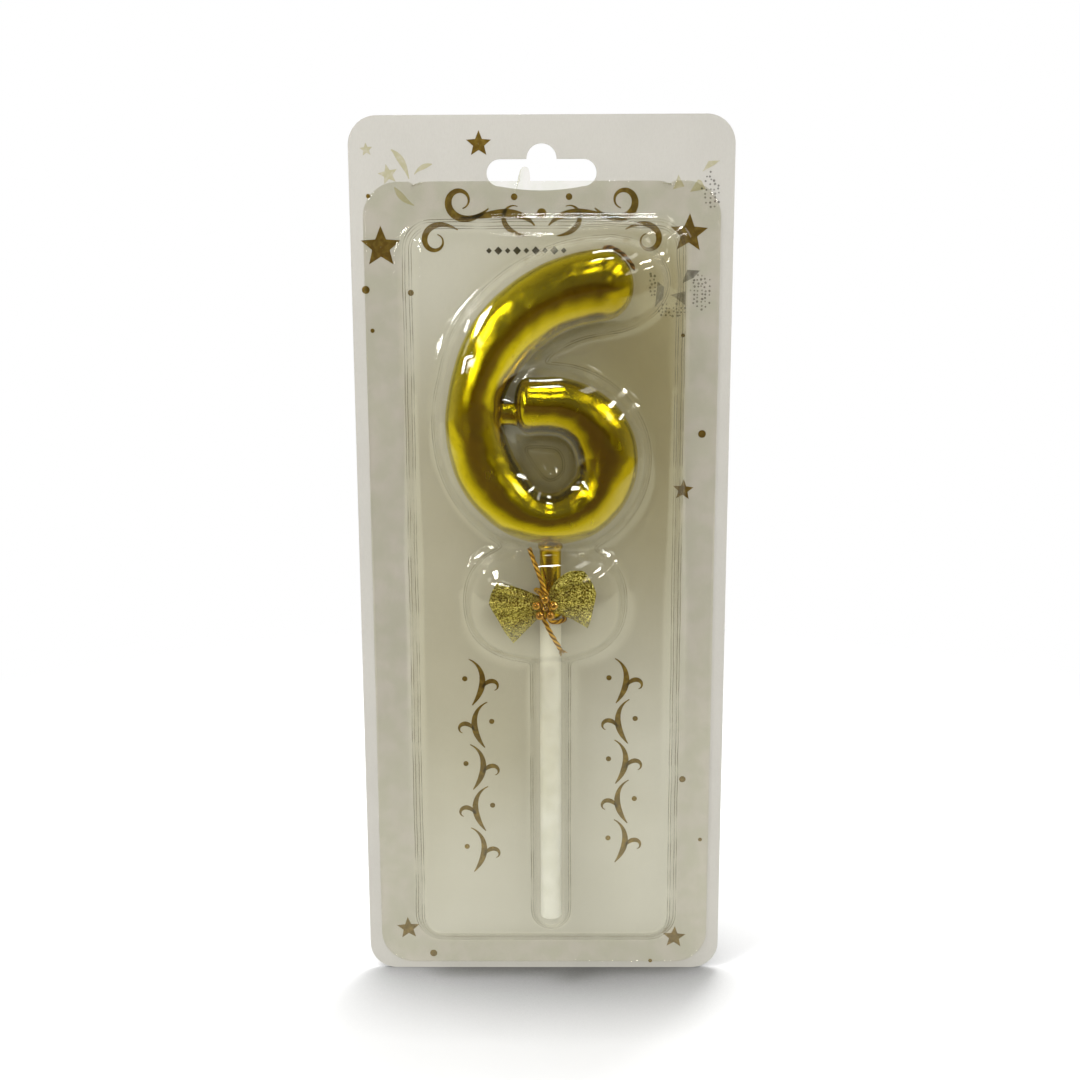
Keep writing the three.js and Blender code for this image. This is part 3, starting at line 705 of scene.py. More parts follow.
@dataclass(frozen=True)
class ClearSheet(Finish):
    """Clear formed plastic: see-through, greyer at its steep walls, with sharp reflections.

    Colours but the haze are what it lets through, and depths are metres forward of the card.
    Forming marks run round the walls, the sealed flange is clouded, and painted shade darkens
    the face in patches.

    Attributes:
        head_on: Share that it mirrors seen head-on, to which grazing adds at its edges.
        marks: Depths of the forming marks.
        mark_wander: How far they wander in depth.
        right_shade_patch: z where the painted shade patch at the right starts and is full, from below and
            above.
        left_shade_patch: The same for the painted shade patch at the left, from above and below.
        sides: x where the left painted shade patch ends and where the right one is full.
        counter: Middle of the painted shade patch in the numeral's counter.
        counter_shade_reach: How far from there its painted shade ends, and how near it is full.
    """

    name: str = "clear_sheet"
    face: Triple = (255, 255, 252)
    # Painted shade: the darkest tint that the patches of painted shade give the face
    painted_shade: Triple = (237, 234, 219)
    wall: Triple = (238, 236, 226)
    haze: Triple = (226, 223, 206)
    haze_share: float = 0.15
    seal: Triple = (250, 250, 246)
    bond: Triple = (253, 252, 250)
    mark: Triple = (192, 189, 177)
    roughness: float = 0.05
    head_on: float = 0.045
    grazing: float = 0.9
    ripple: float = 0.00012
    card_front: float = 0.00025
    seal_depth: float = 0.0008
    seal_fade: float = 0.0006
    marks: tuple[float, ...] = (0.0015, 0.0034, 0.0068)
    mark_half: float = 0.0001
    mark_wander: float = 0.0006
    # Where the patches of painted shade lie, in object coordinates
    right_shade_patch: Band = ((-0.15, -0.04), (-0.01, -0.032))
    left_shade_patch: Band = ((-0.03, -0.085), (-0.19, -0.125))
    left_shade_share: float = 0.32
    sides: Pair = (-0.014, 0.026)
    counter: tuple[float, float, float] = (0.0019, 0.0, -0.0712)
    counter_shade_reach: Pair = (0.0095, 0.005)
    shade_drift: float = 0.3

    def fill(self, graph: Graph) -> None:
        """Adds its nodes.

        Args:
            graph: Its graph.
        """
        steep = graph.add("ShaderNodeLayerWeight", {"Blend": 0.35}).outputs["Facing"]
        spot = graph.apart(graph.here())
        depth = graph.less(graph.times(spot.outputs["Y"], -1.0), self.card_front)
        on_card = graph.window(depth, self.seal_depth + self.seal_fade, self.seal_depth)
        sealed = graph.blend(graph.patches(210, 4, 0.35, 0.68), linear(self.seal), linear(self.bond))
        # Painted shade: the see-through tint is darkened in patches
        clear = graph.blend(self.painted_shade_share(graph, spot), linear(self.face), linear(self.painted_shade))
        clear = graph.blend(graph.window(steep, 0.35, 0.95), clear, linear(self.wall))
        tint = graph.blend(on_card, clear, sealed)
        tint = graph.blend(self.marked(graph, depth), tint, linear(self.mark))
        see = graph.add("ShaderNodeBsdfTransparent", {0: tint}).outputs[0]
        dull = graph.add("ShaderNodeBsdfDiffuse", {"Color": linear(self.haze)}).outputs[0]
        body = graph.mixed(graph.times(graph.window(steep, 0.3, 0.9), self.haze_share), see, dull)
        ripple = graph.bump(graph.noise(140, 2), self.ripple, 0.6)
        gloss = {"Color": (1, 1, 1, 1), "Roughness": self.roughness, "Normal": ripple}
        mirror = graph.add("ShaderNodeBsdfAnisotropic", gloss).outputs[0]
        edge = graph.add("ShaderNodeLayerWeight", {"Blend": 0.5, "Normal": ripple}).outputs["Facing"]
        share = graph.plus(graph.times(graph.maths("POWER", edge, 5.0), self.grazing), self.head_on)
        graph.finish(graph.mixed(share, body, mirror))

    def painted_shade_share(self, graph: Graph, spot: Node) -> Socket:
        """Share of the painted shade tint: a wide patch at the upper right, a weaker one at the left,
        and a patch in the numeral's counter, with soft noise over them.

        Args:
            graph: The material's graph.
            spot: Object coordinates, by axis.

        Returns:
            The share.
        """
        rise, across = spot.outputs["Z"], spot.outputs["X"]
        right = self.band(graph, rise, self.right_shade_patch)
        left = graph.times(self.band(graph, rise, self.left_shade_patch), self.left_shade_share)
        sides = {0: graph.window(across, *self.sides), 2: left, 3: right}
        amount = graph.add("ShaderNodeMix", sides, data_type="FLOAT").outputs[0]
        flat = graph.add("ShaderNodeCombineXYZ", {0: across, 2: rise}).outputs[0]
        # Painted shade in the numeral's counter, where the card between the strokes lies in shade
        amount = graph.plus(amount, graph.window(graph.gap(flat, self.counter), *self.counter_shade_reach))
        shade_drift = graph.times(graph.less(graph.noise(30, 3), 0.5), self.shade_drift)
        return graph.plus(amount, shade_drift, clamp=True)

    @staticmethod
    def band(graph: Graph, rise: Socket, ends: Band) -> Socket:
        """1 between two heights: the product of a window at either end."""
        return graph.times(graph.window(rise, *ends[0]), graph.window(rise, *ends[1]))

    def marked(self, graph: Graph, depth: Socket) -> Socket:
        """1 on a forming mark: where the depth is near one of theirs, broken up by noise.

        Args:
            graph: The material's graph.
            depth: Depth forward of the card.

        Returns:
            The share of the mark's tint.
        """
        wandered = graph.plus(depth, graph.times(graph.noise(90, 2), self.mark_wander))
        nears = []
        for mark in self.marks:
            gap = graph.maths("ABSOLUTE", graph.less(wandered, mark + self.mark_wander / 2))
            nears.append(graph.window(gap, self.mark_half * 1.8, self.mark_half * 0.6))
        return graph.times(graph.highest(nears), graph.patches(160, 2, 0.25, 0.6))


@dataclass(frozen=True)
class GoldCoat(Finish):
    """Vacuum metal coat over wax: lemon gold with an orange-peel skin, dull spots and scuffs."""

    name: str = "gold_coat"
    shade: Triple = (203, 187, 14)
    worn: Triple = (128, 104, 12)
    roughness: float = 0.16
    peel: float = 0.00003
    spotting: float = 0.55
    scuffing: float = 0.13

    def fill(self, graph: Graph) -> None:
        """Adds its nodes.

        Args:
            graph: Its graph.
        """
        spots = graph.times(graph.patches(1500, 6, 0.62, 0.74), self.spotting)
        scuffs = graph.times(graph.patches(420, 5, 0.5, 0.75, graph.here((1, 1, 0.5))), self.scuffing)
        grain = graph.blend(0.4, graph.noise(3600, 2), graph.noise(800, 2))
        sockets = {
            "Base Color": graph.blend(spots, linear(self.shade), linear(self.worn)),
            "Metallic": 1.0,
            "Roughness": graph.plus(scuffs, self.roughness),
            "Normal": graph.bump(grain, self.peel),
        }
        graph.coat(sockets)


@dataclass(frozen=True)
class MilkyTube(Finish):
    """Cloudy white plastic that lets some light through, with faint drawn lines."""

    name: str = "milky_tube"
    shade: Triple = (226, 224, 218)
    deep: Triple = (214, 212, 203)
    roughness: float = 0.34
    glow: float = 0.35
    spread: tuple[float, float, float] = (0.0015, 0.0014, 0.0012)
    line_rise: float = 0.00002

    def fill(self, graph: Graph) -> None:
        """Adds its nodes.

        Args:
            graph: Its graph.
        """
        lines = graph.noise(1800, 3, graph.here((1, 1, 0.03)))
        clouds = graph.patches(160, 3, 0.35, 0.7)
        sockets = {
            "Base Color": graph.blend(clouds, linear(self.shade), linear(self.deep)),
            "Roughness": self.roughness,
            "Specular IOR Level": 0.5,
            "Subsurface Weight": self.glow,
            "Subsurface Radius": self.spread,
            "Subsurface Scale": 1.0,
            "Normal": graph.bump(lines, self.line_rise, 0.5),
        }
        graph.coat(sockets)


@dataclass(frozen=True)
class GlitterWeave(Finish):
    """Metallic gauze ribbon: threads on the piece's own map, leaning flakes, gaps between them,
    thinner towards the lower selvedge, where the map is 0 and 2.

    Attributes:
        closed: Share that covers what is behind it, between its threads.
        thinning: What of that share is lost at the lower selvedge.
        thin_from: How far from the map's middle that starts and is full.
    """

    name: str = "glitter_weave"
    light: Triple = (255, 246, 138)
    dark: Triple = (102, 88, 12)
    rows: float = 34.0
    picks: float = 44.0
    flakes: float = 4900.0
    lean: float = 1.05
    closed: float = 0.55
    thinning: float = 0.38
    thin_from: Pair = (0.66, 0.95)

    def fill(self, graph: Graph) -> None:
        """Adds its nodes.

        Args:
            graph: Its graph.
        """
        lay = graph.lay()
        warp = self.thread(graph, lay.outputs["X"], self.rows)
        weft = self.thread(graph, lay.outputs["Y"], self.picks)
        cover = graph.maths("MAXIMUM", warp, weft)
        flake = graph.add("ShaderNodeTexVoronoi", {"Vector": graph.here(), "Scale": self.flakes})
        chance = flake.outputs["Color"]
        spark = graph.add("ShaderNodeSeparateColor", {0: chance}).outputs[0]
        sockets = {
            "Base Color": graph.blend(graph.window(spark, 0.3, 0.8), linear(self.dark), linear(self.light)),
            "Metallic": 0.85,
            "Roughness": 0.3,
            "Normal": self.leaned(graph, chance, graph.bump(cover, 0.00006, 0.7)),
        }
        metal = graph.add("ShaderNodeBsdfPrincipled", sockets).outputs[0]
        hole = graph.add("ShaderNodeBsdfTransparent", {0: (1, 1, 1, 1)}).outputs[0]
        from_middle = graph.maths("ABSOLUTE", graph.less(lay.outputs["X"], 1.0))
        thinned = graph.times(graph.window(from_middle, *self.thin_from), self.thinning)
        threads = graph.times(cover, 1 - self.closed)
        share = graph.plus(threads, graph.less(self.closed, thinned), clamp=True)
        graph.finish(graph.mixed(share, hole, metal))

    def leaned(self, graph: Graph, chance: Socket, normal: Socket) -> Socket:
        """Leans each flake its own way.

        Args:
            graph: The material's graph.
            chance: A random colour for each flake.
            normal: The normal without the lean.

        Returns:
            The normal plus the colour less a half, times the lean.
        """
        lean = graph.scaled(graph.vector("SUBTRACT", chance, (0.5, 0.5, 0.5)), self.lean)
        both = graph.vector("ADD", normal, lean)
        return graph.add("ShaderNodeVectorMath", {0: both}, operation="NORMALIZE").outputs[0]

    def thread(self, graph: Graph, place: Socket, count: float) -> Socket:
        """1 on each of count threads, 0 between them."""
        return graph.window(graph.maths("SINE", graph.times(place, count * 2 * math.pi)), -0.35, 0.45)


@dataclass(frozen=True)
class AmberBead(Finish):
    """Amber glass bead with a metal lining: deep orange, with painted shade darkening it towards its rims,
    and clear glints.
    """

    name: str = "amber_bead"
    shade: Triple = (184, 124, 8)
    deep: Triple = (72, 34, 2)
    glint: Triple = (230, 184, 36)

    def fill(self, graph: Graph) -> None:
        """Adds its nodes.

        Args:
            graph: Its graph.
        """
        # Painted shade: the colour darkens towards the rims that turn from view
        edge = graph.add("ShaderNodeLayerWeight", {"Blend": 0.4}).outputs["Facing"]
        swirl = graph.patches(900, 3, 0.35, 0.7)
        core = graph.blend(swirl, linear(self.shade), linear(self.glint))
        sockets = {
            "Base Color": graph.blend(graph.window(edge, 0.2, 0.95), core, linear(self.deep)),
            "Metallic": 0.85,
            "Roughness": 0.18,
            "Coat Weight": 1.0,
            "Coat Roughness": 0.1,
            "Coat IOR": 1.8,
            "Normal": graph.bump(swirl, 0.00005, 0.4),
        }
        graph.coat(sockets)


@dataclass(frozen=True)
class SpunThread(Finish):
    """Twisted thread: its colour changes from strand to strand, blurred by its fuzz."""

    name: str
    light: Triple
    dark: Triple
    metallic: float
    plies: float
    turns: float
    fuzz: float = 0.9

    def fill(self, graph: Graph) -> None:
        """Adds its nodes.

        Args:
            graph: Its graph.
        """
        lay = graph.lay()
        phase = graph.plus(
            graph.times(lay.outputs["X"], self.plies), graph.times(lay.outputs["Y"], self.turns)
        )
        wave = graph.maths("SINE", graph.times(phase, 2 * math.pi))
        strand = graph.window(graph.plus(wave, graph.times(graph.noise(4200, 3), self.fuzz)), -0.5, 1.1)
        sockets = {
            "Base Color": graph.blend(strand, linear(self.dark), linear(self.light)),
            "Metallic": self.metallic,
            "Roughness": 0.42,
            "Normal": graph.bump(strand, 0.00006, 0.8),
        }
        graph.coat(sockets)


# ---- studio


@dataclass(frozen=True)
class Panel:
    """A soft panel lamp that shiny surfaces don't mirror."""

    name: str
    power: float
    size: Pair
    place: tuple[float, float, float]
    aim: tuple[float, float, float]

    def build(self) -> None:
        """Adds the lamp to the scene."""
        data = bpy.data.lights.new(self.name, "AREA")
        data.energy = self.power
        data.shape = "RECTANGLE"
        data.size, data.size_y = self.size
        lamp = bpy.data.objects.new(self.name, data)
        lamp.location = self.place
        away = Vector(self.place) - Vector(self.aim)
        lamp.rotation_euler = away.to_track_quat("Z", "Y").to_euler()
        lamp.visible_camera = False
        lamp.visible_glossy = False
        bpy.context.scene.collection.objects.link(lamp)


@dataclass(frozen=True)
class Tube:
    """A ceiling tube on a level plan one unit up: its ends as x/z and forward/z, half its width
    and its brightness.
    """

    start: Pair
    finish: Pair
    half: float
    glow: float

    def light(self, graph: Graph, spot: Socket) -> Socket:
        """Its light: its glow where its line is nearer than its half width.

        The line's nearest point is start + t (finish - start), with t the projection held from
        0 to 1.

        Args:
            graph: The world's graph.
            spot: The place on the plan.

        Returns:
            The light.
        """
        line = (self.finish[0] - self.start[0], self.finish[1] - self.start[1], 0.0)
        away = graph.vector("SUBTRACT", spot, (*self.start, 0.0))
        dot = graph.add("ShaderNodeVectorMath", {0: away, 1: line}, operation="DOT_PRODUCT")
        share = graph.maths("DIVIDE", dot.outputs["Value"], line[0] ** 2 + line[1] ** 2, clamp=True)
        gap = graph.gap(away, graph.scaled(line, share))
        return graph.times(graph.window(gap, self.half * 1.5, self.half * 0.8), self.glow)


@dataclass(frozen=True)
class Ray:
    """Direction that a ray leaves in: to the right, up, and towards the camera's side."""

    across: Socket
    up: Socket
    forward: Socket


@dataclass
class Studio:
    """Camera, pale floor and soft light.

    The world shows white to the camera and through clear plastic, and gives plain soft light.
    Shiny surfaces see a room: dim behind the camera, with ceiling tubes, and pale behind the
    pack and on the floor near it.

    Attributes:
        contact_shadow_reach: Reach of the painted contact shadow where the pack touches the floor, in
            metres.
        shadow_fade: How far from the pack the floor starts to glow white and is all white.
        shade_middle: x and y on the floor of the dim patch that shiny surfaces see in front.
        shade_reach: How far from there its colours start to change and have changed.
        far_span: y where far_dim ends and where the patch is full.
        shiny_gain: How much brighter than white shiny surfaces see the floor.
        soft_rows: Grey of the soft light, by degrees above the level in front.
        side_span: Heading in radians where the front wall ends and the side walls are full.
        behind_span: Heading where the side walls end and the room behind is full.
    """

    eye: tuple[float, float, float] = (0.0012565, -0.257526, -0.050266)
    tilt: tuple[float, float, float] = (1.417254, 0.003382, 0.006792)
    lens: float = 36.67
    floor_reach: float = 6.0
    floor_gap: float = 0.00002
    floor_lit: Colour = (0.6, 0.6, 0.6, 1)
    floor_dull: Colour = (0.35, 0.35, 0.355, 1)
    # Painted contact shadow: how far from the pack ambient occlusion darkens the floor's colour
    contact_shadow_reach: float = 0.03
    shadow_fade: Pair = (0.16, 0.38)
    shade_middle: Pair = (-0.12, -0.42)
    shade_reach: Pair = (0.1, 0.37)
    shade_rows: Rows = (
        (0.0, (0.09, 0.055, 0.025)), (0.4, (0.15, 0.12, 0.07)),
        (0.65, (0.42, 0.4, 0.29)), (1.0, (0.82, 0.81, 0.66)),
    )
    far_dim: Colour = (0.12, 0.08, 0.045, 1)
    far_span: Pair = (-0.6, -0.3)
    shiny_gain: float = 0.38
    panels: tuple[Panel, ...] = (
        Panel("overhead_panel", 21.5, (1.3, 0.24), (-0.08, 0.07, 0.85), (0.0, 0.0, -0.2)),
        Panel("low_panel", 0.1, (0.3, 0.03), (0.0, -0.42, -0.16), (0.0, 0.0, -0.15)),
        Panel("high_panel", 0.22, (0.3, 0.2), (-0.03, -0.42, 0.12), (0.0, 0.0, -0.01)),
    )
    tubes: tuple[Tube, ...] = (
        Tube((-1.68, 1.93), (-1.19, 0.7), 0.035, 48.0), Tube((-1.53, 1.98), (-1.04, 0.75), 0.03, 40.0),
        Tube((-1.7, -0.1), (-1.3, -0.9), 0.05, 30.0), Tube((-2.0, -1.7), (-1.4, -2.9), 0.12, 24.0),
        Tube((1.75, 1.3), (1.6, 0.3), 0.035, 26.0), Tube((-2.55, 2.0), (-1.95, 1.35), 0.16, 1.8),
        Tube((-3.35, 4.3), (-2.9, 3.1), 0.08, 46.0), Tube((-2.5, 5.0), (-2.78, 3.2), 0.08, 46.0),
        Tube((-3.0, 5.2), (-3.0, 9.0), 0.16, 12.0), Tube((-1.75, 5.6), (-1.66, 2.8), 0.05, 4.0),
        Tube((-0.02, 0.42), (0.12, 0.3), 0.022, 44.0), Tube((-0.02, 1.12), (0.12, 1.0), 0.03, 36.0),
        Tube((0.5, 0.95), (0.6, 0.2), 0.06, 3.0), Tube((1.12, 0.95), (1.1, 0.0), 0.032, 36.0),
        Tube((1.35, 2.0), (1.7, 3.9), 0.12, 2.4),
    )
    soft_rows: tuple[Pair, ...] = (
        (-90, 0.5), (0, 1.1), (30, 1.45), (55, 0.9), (80, 0.5), (95, 0.3), (120, 0.3), (165, 0.8),
    )
    ahead_rows: Rows = (
        (-20, (0.12, 0.075, 0.035)), (-3, (0.075, 0.036, 0.01)),
        (3, (0.1, 0.064, 0.022)), (8, (0.2, 0.17, 0.075)),
        (16, (0.19, 0.175, 0.07)), (50, (0.2, 0.185, 0.08)),
        (80, (0.33, 0.3, 0.2)),
    )
    side_rows: Rows = (
        (-20, (0.58, 0.55, 0.4)), (-5, (0.45, 0.41, 0.26)),
        (6, (0.38, 0.34, 0.21)), (18, (0.25, 0.22, 0.11)),
        (35, (0.29, 0.26, 0.14)), (60, (0.36, 0.33, 0.2)),
        (80, (0.38, 0.34, 0.22)),
    )
    behind: Colour = (0.6, 0.58, 0.48, 1)
    side_span: Pair = (0.4, 1.0)
    behind_span: Pair = (1.0, 1.9)

    def build(self, where: CardFrame) -> None:
        """Sets up the camera, the floor, the lamps and the world.

        Args:
            where: The card's place.
        """
        self.camera()
        self.floor(where)
        for panel in self.panels:
            panel.build()
        self.world()

    def camera(self) -> None:
        """Places the camera at the photograph's viewing angle."""
        data = bpy.data.cameras.new("camera")
        data.lens = self.lens
        data.sensor_width = 36.0
        data.clip_start = 0.01
        data.clip_end = 20.0
        camera = bpy.data.objects.new("camera", data)
        camera.location = self.eye
        camera.rotation_euler = self.tilt
        bpy.context.scene.collection.objects.link(camera)
        bpy.context.scene.camera = camera

    def floor(self, where: CardFrame) -> None:
        """Lays the floor under the card's bottom edge, as a flat grid.

        The camera sees it white with the pack's shadow, partly a painted contact shadow, and it
        throws less light on the pack than a white floor does.

        Args:
            where: The card's place.
        """
        material, graph = new_material("floor_paint")
        spot = graph.here()
        rays = graph.add("ShaderNodeLightPath")
        # Painted contact shadow: ambient occlusion darkens the floor's colour near the pack
        open_share = graph.add("ShaderNodeAmbientOcclusion", {"Distance": self.contact_shadow_reach}, samples=8)
        lit = graph.blend(open_share.outputs["AO"], (0, 0, 0, 1), self.floor_lit)
        colour = graph.blend(rays.outputs["Is Camera Ray"], self.floor_dull, lit)
        paint = graph.add("ShaderNodeBsdfDiffuse", {"Color": colour}).outputs[0]
        shiny = self.mirrored(graph, rays)
        glow = {
            "Color": graph.blend(shiny, (1, 1, 1, 1), self.floor_in_mirrors(graph, spot, where)),
            "Strength": graph.plus(1.0, graph.times(shiny, self.shiny_gain)),
        }
        seen = graph.add("ShaderNodeEmission", glow).outputs[0]
        away = graph.window(graph.gap(spot, (0, 0, where.foot)), *self.shadow_fade)
        far = graph.times(away, rays.outputs["Is Camera Ray"])
        graph.finish(graph.mixed(graph.maths("MAXIMUM", shiny, far), paint, seen))
        reach = np.linspace(-self.floor_reach, self.floor_reach, 5)
        x, y = np.meshgrid(reach, reach)
        points = np.stack([x, y, np.full_like(x, where.foot - self.floor_gap)], axis=-1)
        Form.grid(points).piece("floor", material)

    def floor_in_mirrors(self, graph: Graph, spot: Socket, where: CardFrame) -> Socket:
        """What shiny surfaces see of the floor: a dim patch in front of the pack, paler round it.

        Args:
            graph: The floor's graph.
            spot: Object coordinates.
            where: The card's place.

        Returns:
            Its colour.
        """
        gap = graph.gap(spot, (*self.shade_middle, where.foot))
        span = {"Value": gap, "From Min": self.shade_reach[0], "From Max": self.shade_reach[1]}
        near = graph.add("ShaderNodeMapRange", span).outputs[0]
        patch = graph.ramp(near, [(share, (*colour, 1)) for share, colour in self.shade_rows])
        ahead = graph.apart(spot).outputs["Y"]
        return graph.blend(graph.window(ahead, *self.far_span), self.far_dim, patch)

    @staticmethod
    def mirrored(graph: Graph, rays: Node) -> Socket:
        """1 for a mirrored ray that has met no dull surface before, or else 0.

        Args:
            graph: The graph to add to.
            rays: Its Light Path node.

        Returns:
            The switch.
        """
        fresh = graph.maths("LESS_THAN", rays.outputs["Diffuse Depth"], 0.5)
        return graph.times(rays.outputs["Is Glossy Ray"], fresh)

    def world(self) -> None:
        """Fills the world from the direction that a ray leaves in."""
        world = bpy.data.worlds.new("studio")
        bpy.context.scene.world = world
        world.use_nodes = True
        graph = Graph(world.node_tree)
        parts = graph.apart(graph.add("ShaderNodeTexCoord").outputs["Generated"]).outputs
        ray = Ray(parts["X"], parts["Z"], graph.times(parts["Y"], -1.0))
        rays = graph.add("ShaderNodeLightPath")
        plain = graph.plus(rays.outputs["Is Camera Ray"], rays.outputs["Is Transmission Ray"], clamp=True)
        lit = self.soft_light(graph, ray)
        colour = graph.blend(self.mirrored(graph, rays), lit, self.room(graph, ray))
        colour = graph.blend(plain, colour, (1, 1, 1, 1))
        light = graph.add("ShaderNodeBackground", {"Color": colour, "Strength": 1.0})
        graph.add("ShaderNodeOutputWorld", {"Surface": light.outputs[0]})

    def soft_light(self, graph: Graph, ray: Ray) -> Socket:
        """Soft light for dull surfaces: brightest low in front.

        Args:
            graph: The world's graph.
            ray: The direction.

        Returns:
            Its colour.
        """
        turn = graph.maths("ARCTAN2", ray.up, ray.forward)
        share = graph.plus(graph.maths("DIVIDE", turn, 2 * math.pi), 0.5)
        stops = [(degrees / 360 + 0.5, (grey, grey, grey * 0.985, 1)) for degrees, grey in self.soft_rows]
        return graph.ramp(share, stops)

    def room(self, graph: Graph, ray: Ray) -> Socket:
        """What shiny surfaces see: a dim room with tubes in front, paler behind.

        Args:
            graph: The world's graph.
            ray: The direction.

        Returns:
            Its colour.
        """
        lift = graph.plus(graph.maths("DIVIDE", graph.maths("ARCSINE", ray.up), math.pi), 0.5)
        front_wall, side_walls = (
            graph.ramp(lift, [(degrees / 180 + 0.5, (*colour, 1)) for degrees, colour in rows])
            for rows in (self.ahead_rows, self.side_rows)
        )
        wide = graph.maths("ABSOLUTE", graph.maths("ARCTAN2", ray.across, ray.forward))
        colour = graph.blend(graph.window(wide, *self.side_span), front_wall, side_walls)
        colour = graph.blend(graph.window(wide, *self.behind_span), colour, self.behind)
        return graph.blend(1.0, colour, self.glow(graph, ray), "ADD")

    def glow(self, graph: Graph, ray: Ray) -> Socket:
        """Brightness of the ceiling tubes, on a level plan one unit up.

        Args:
            graph: The world's graph.
            ray: The direction.

        Returns:
            The light of the brightest tube there.
        """
        up = graph.maths("MAXIMUM", ray.up, 0.02)
        across = graph.maths("DIVIDE", ray.across, up)
        ahead = graph.maths("DIVIDE", ray.forward, up)
        spot = graph.add("ShaderNodeCombineXYZ", {0: across, 1: ahead}).outputs[0]
        return graph.highest([tube.light(graph, spot) for tube in self.tubes])


# ---- numeral


@dataclass
class StrokePath:
    """Middle line of the numeral: a short lead, then three arcs that run into each other.

    Each arc's centre is the last centre moved by the difference of radii along the joint.

    Attributes:
        arcs: Radius of each arc, and its sweep in degrees.
        swells: Share of the line, and what the width is multiplied by there.
    """

    bowl_x: float = 1.9
    bowl_height: float = 127.67
    lead: float = 4.9
    arcs: tuple[Pair, ...] = ((12.9, 222), (26.1, 64), (31, 68.5))
    width: float = 13.1
    swells: tuple[Pair, ...] = (
        (0, 0.99), (0.07, 1.01), (0.19, 1.09), (0.29, 1), (0.38, 0.91),
        (0.53, 1.1), (0.68, 0.99), (0.8, 1.16), (1, 1.22),
    )

    def length(self) -> float:
        """Length of the line in millimetres."""
        return self.lead + sum(radius * math.radians(sweep) for radius, sweep in self.arcs)

    def at(self, share: Array) -> tuple[Array, Array]:
        """Points and directions of the line.

        Args:
            share: Share of the line's length, from 0 at the blunt end to 1 at the tip.

        Returns:
            Points and unit directions, x and height to a row.
        """
        run = share * self.length()
        points = np.stack([self.bowl_x - self.lead + run, np.full_like(run, self.crown())], axis=1)
        directions = np.tile([1.0, 0.0], (len(run), 1))
        centre = np.array([self.bowl_x, self.bowl_height])
        angle = math.pi / 2
        last = self.arcs[0][0]
        start = self.lead
        for radius, sweep in self.arcs:
            centre = centre + (last - radius) * np.array([math.cos(angle), math.sin(angle)])
            turned = angle - (run - start) / radius
            arc = centre + radius * np.stack([np.cos(turned), np.sin(turned)], axis=1)
            heading = np.stack([np.sin(turned), -np.cos(turned)], axis=1)
            on_arc = (run > start)[:, None]
            points = np.where(on_arc, arc, points)
            directions = np.where(on_arc, heading, directions)
            angle -= math.radians(sweep)
            start += radius * math.radians(sweep)
            last = radius
        return points, directions

    def crown(self) -> float:
        """Height of the line where its lead meets the bowl."""
        return self.bowl_height + self.arcs[0][0]

    def half_width(self, share: Array) -> Array:
        """Half the stroke's width along the line."""
        return self.width / 2 * swell(share, self.swells)

    def tip(self) -> tuple[Array, float]:
        """Centre and radius of the round tip."""
        end = np.array([1.0])
        return self.at(end)[0][0], float(self.half_width(end)[0])

    def stations(
        self, steps: int, margin: float, blunt: float, cap_steps: int, roundness: Pair
    ) -> tuple[Array, Array, Array, Array]:
        """Stations along the stroke and its two end caps.

        Args:
            steps: Stations on the stroke itself.
            margin: What is added to half the stroke's width.
            blunt: How far the blunt end reaches beyond the line.
            cap_steps: Stations in each cap.
            roundness: Roundness of the blunt cap and of the tip's.

        Returns:
            Points, directions, half widths and how far each is closed, 1 on the stroke.
        """
        share = np.linspace(0, 1, steps)
        points, directions = self.at(share)
        half = self.half_width(share) + margin
        angle = np.linspace(0, math.pi / 2, cap_steps + 1)[1:]
        first_closing, first_reach = squared(angle * NEARLY, roundness[0])
        last_closing, last_reach = squared(angle * NEARLY, roundness[1])
        before = points[0] - directions[0] * (blunt + margin) * first_reach[::-1, None]
        after = points[-1] + directions[-1] * half[-1] * last_reach[:, None]
        row = np.clip(np.arange(-cap_steps, steps + cap_steps), 0, steps - 1)
        return (
            np.concatenate([before, points, after]),
            directions[row],
            half[row],
            np.concatenate([first_closing[::-1], np.ones(steps), last_closing]),
        )


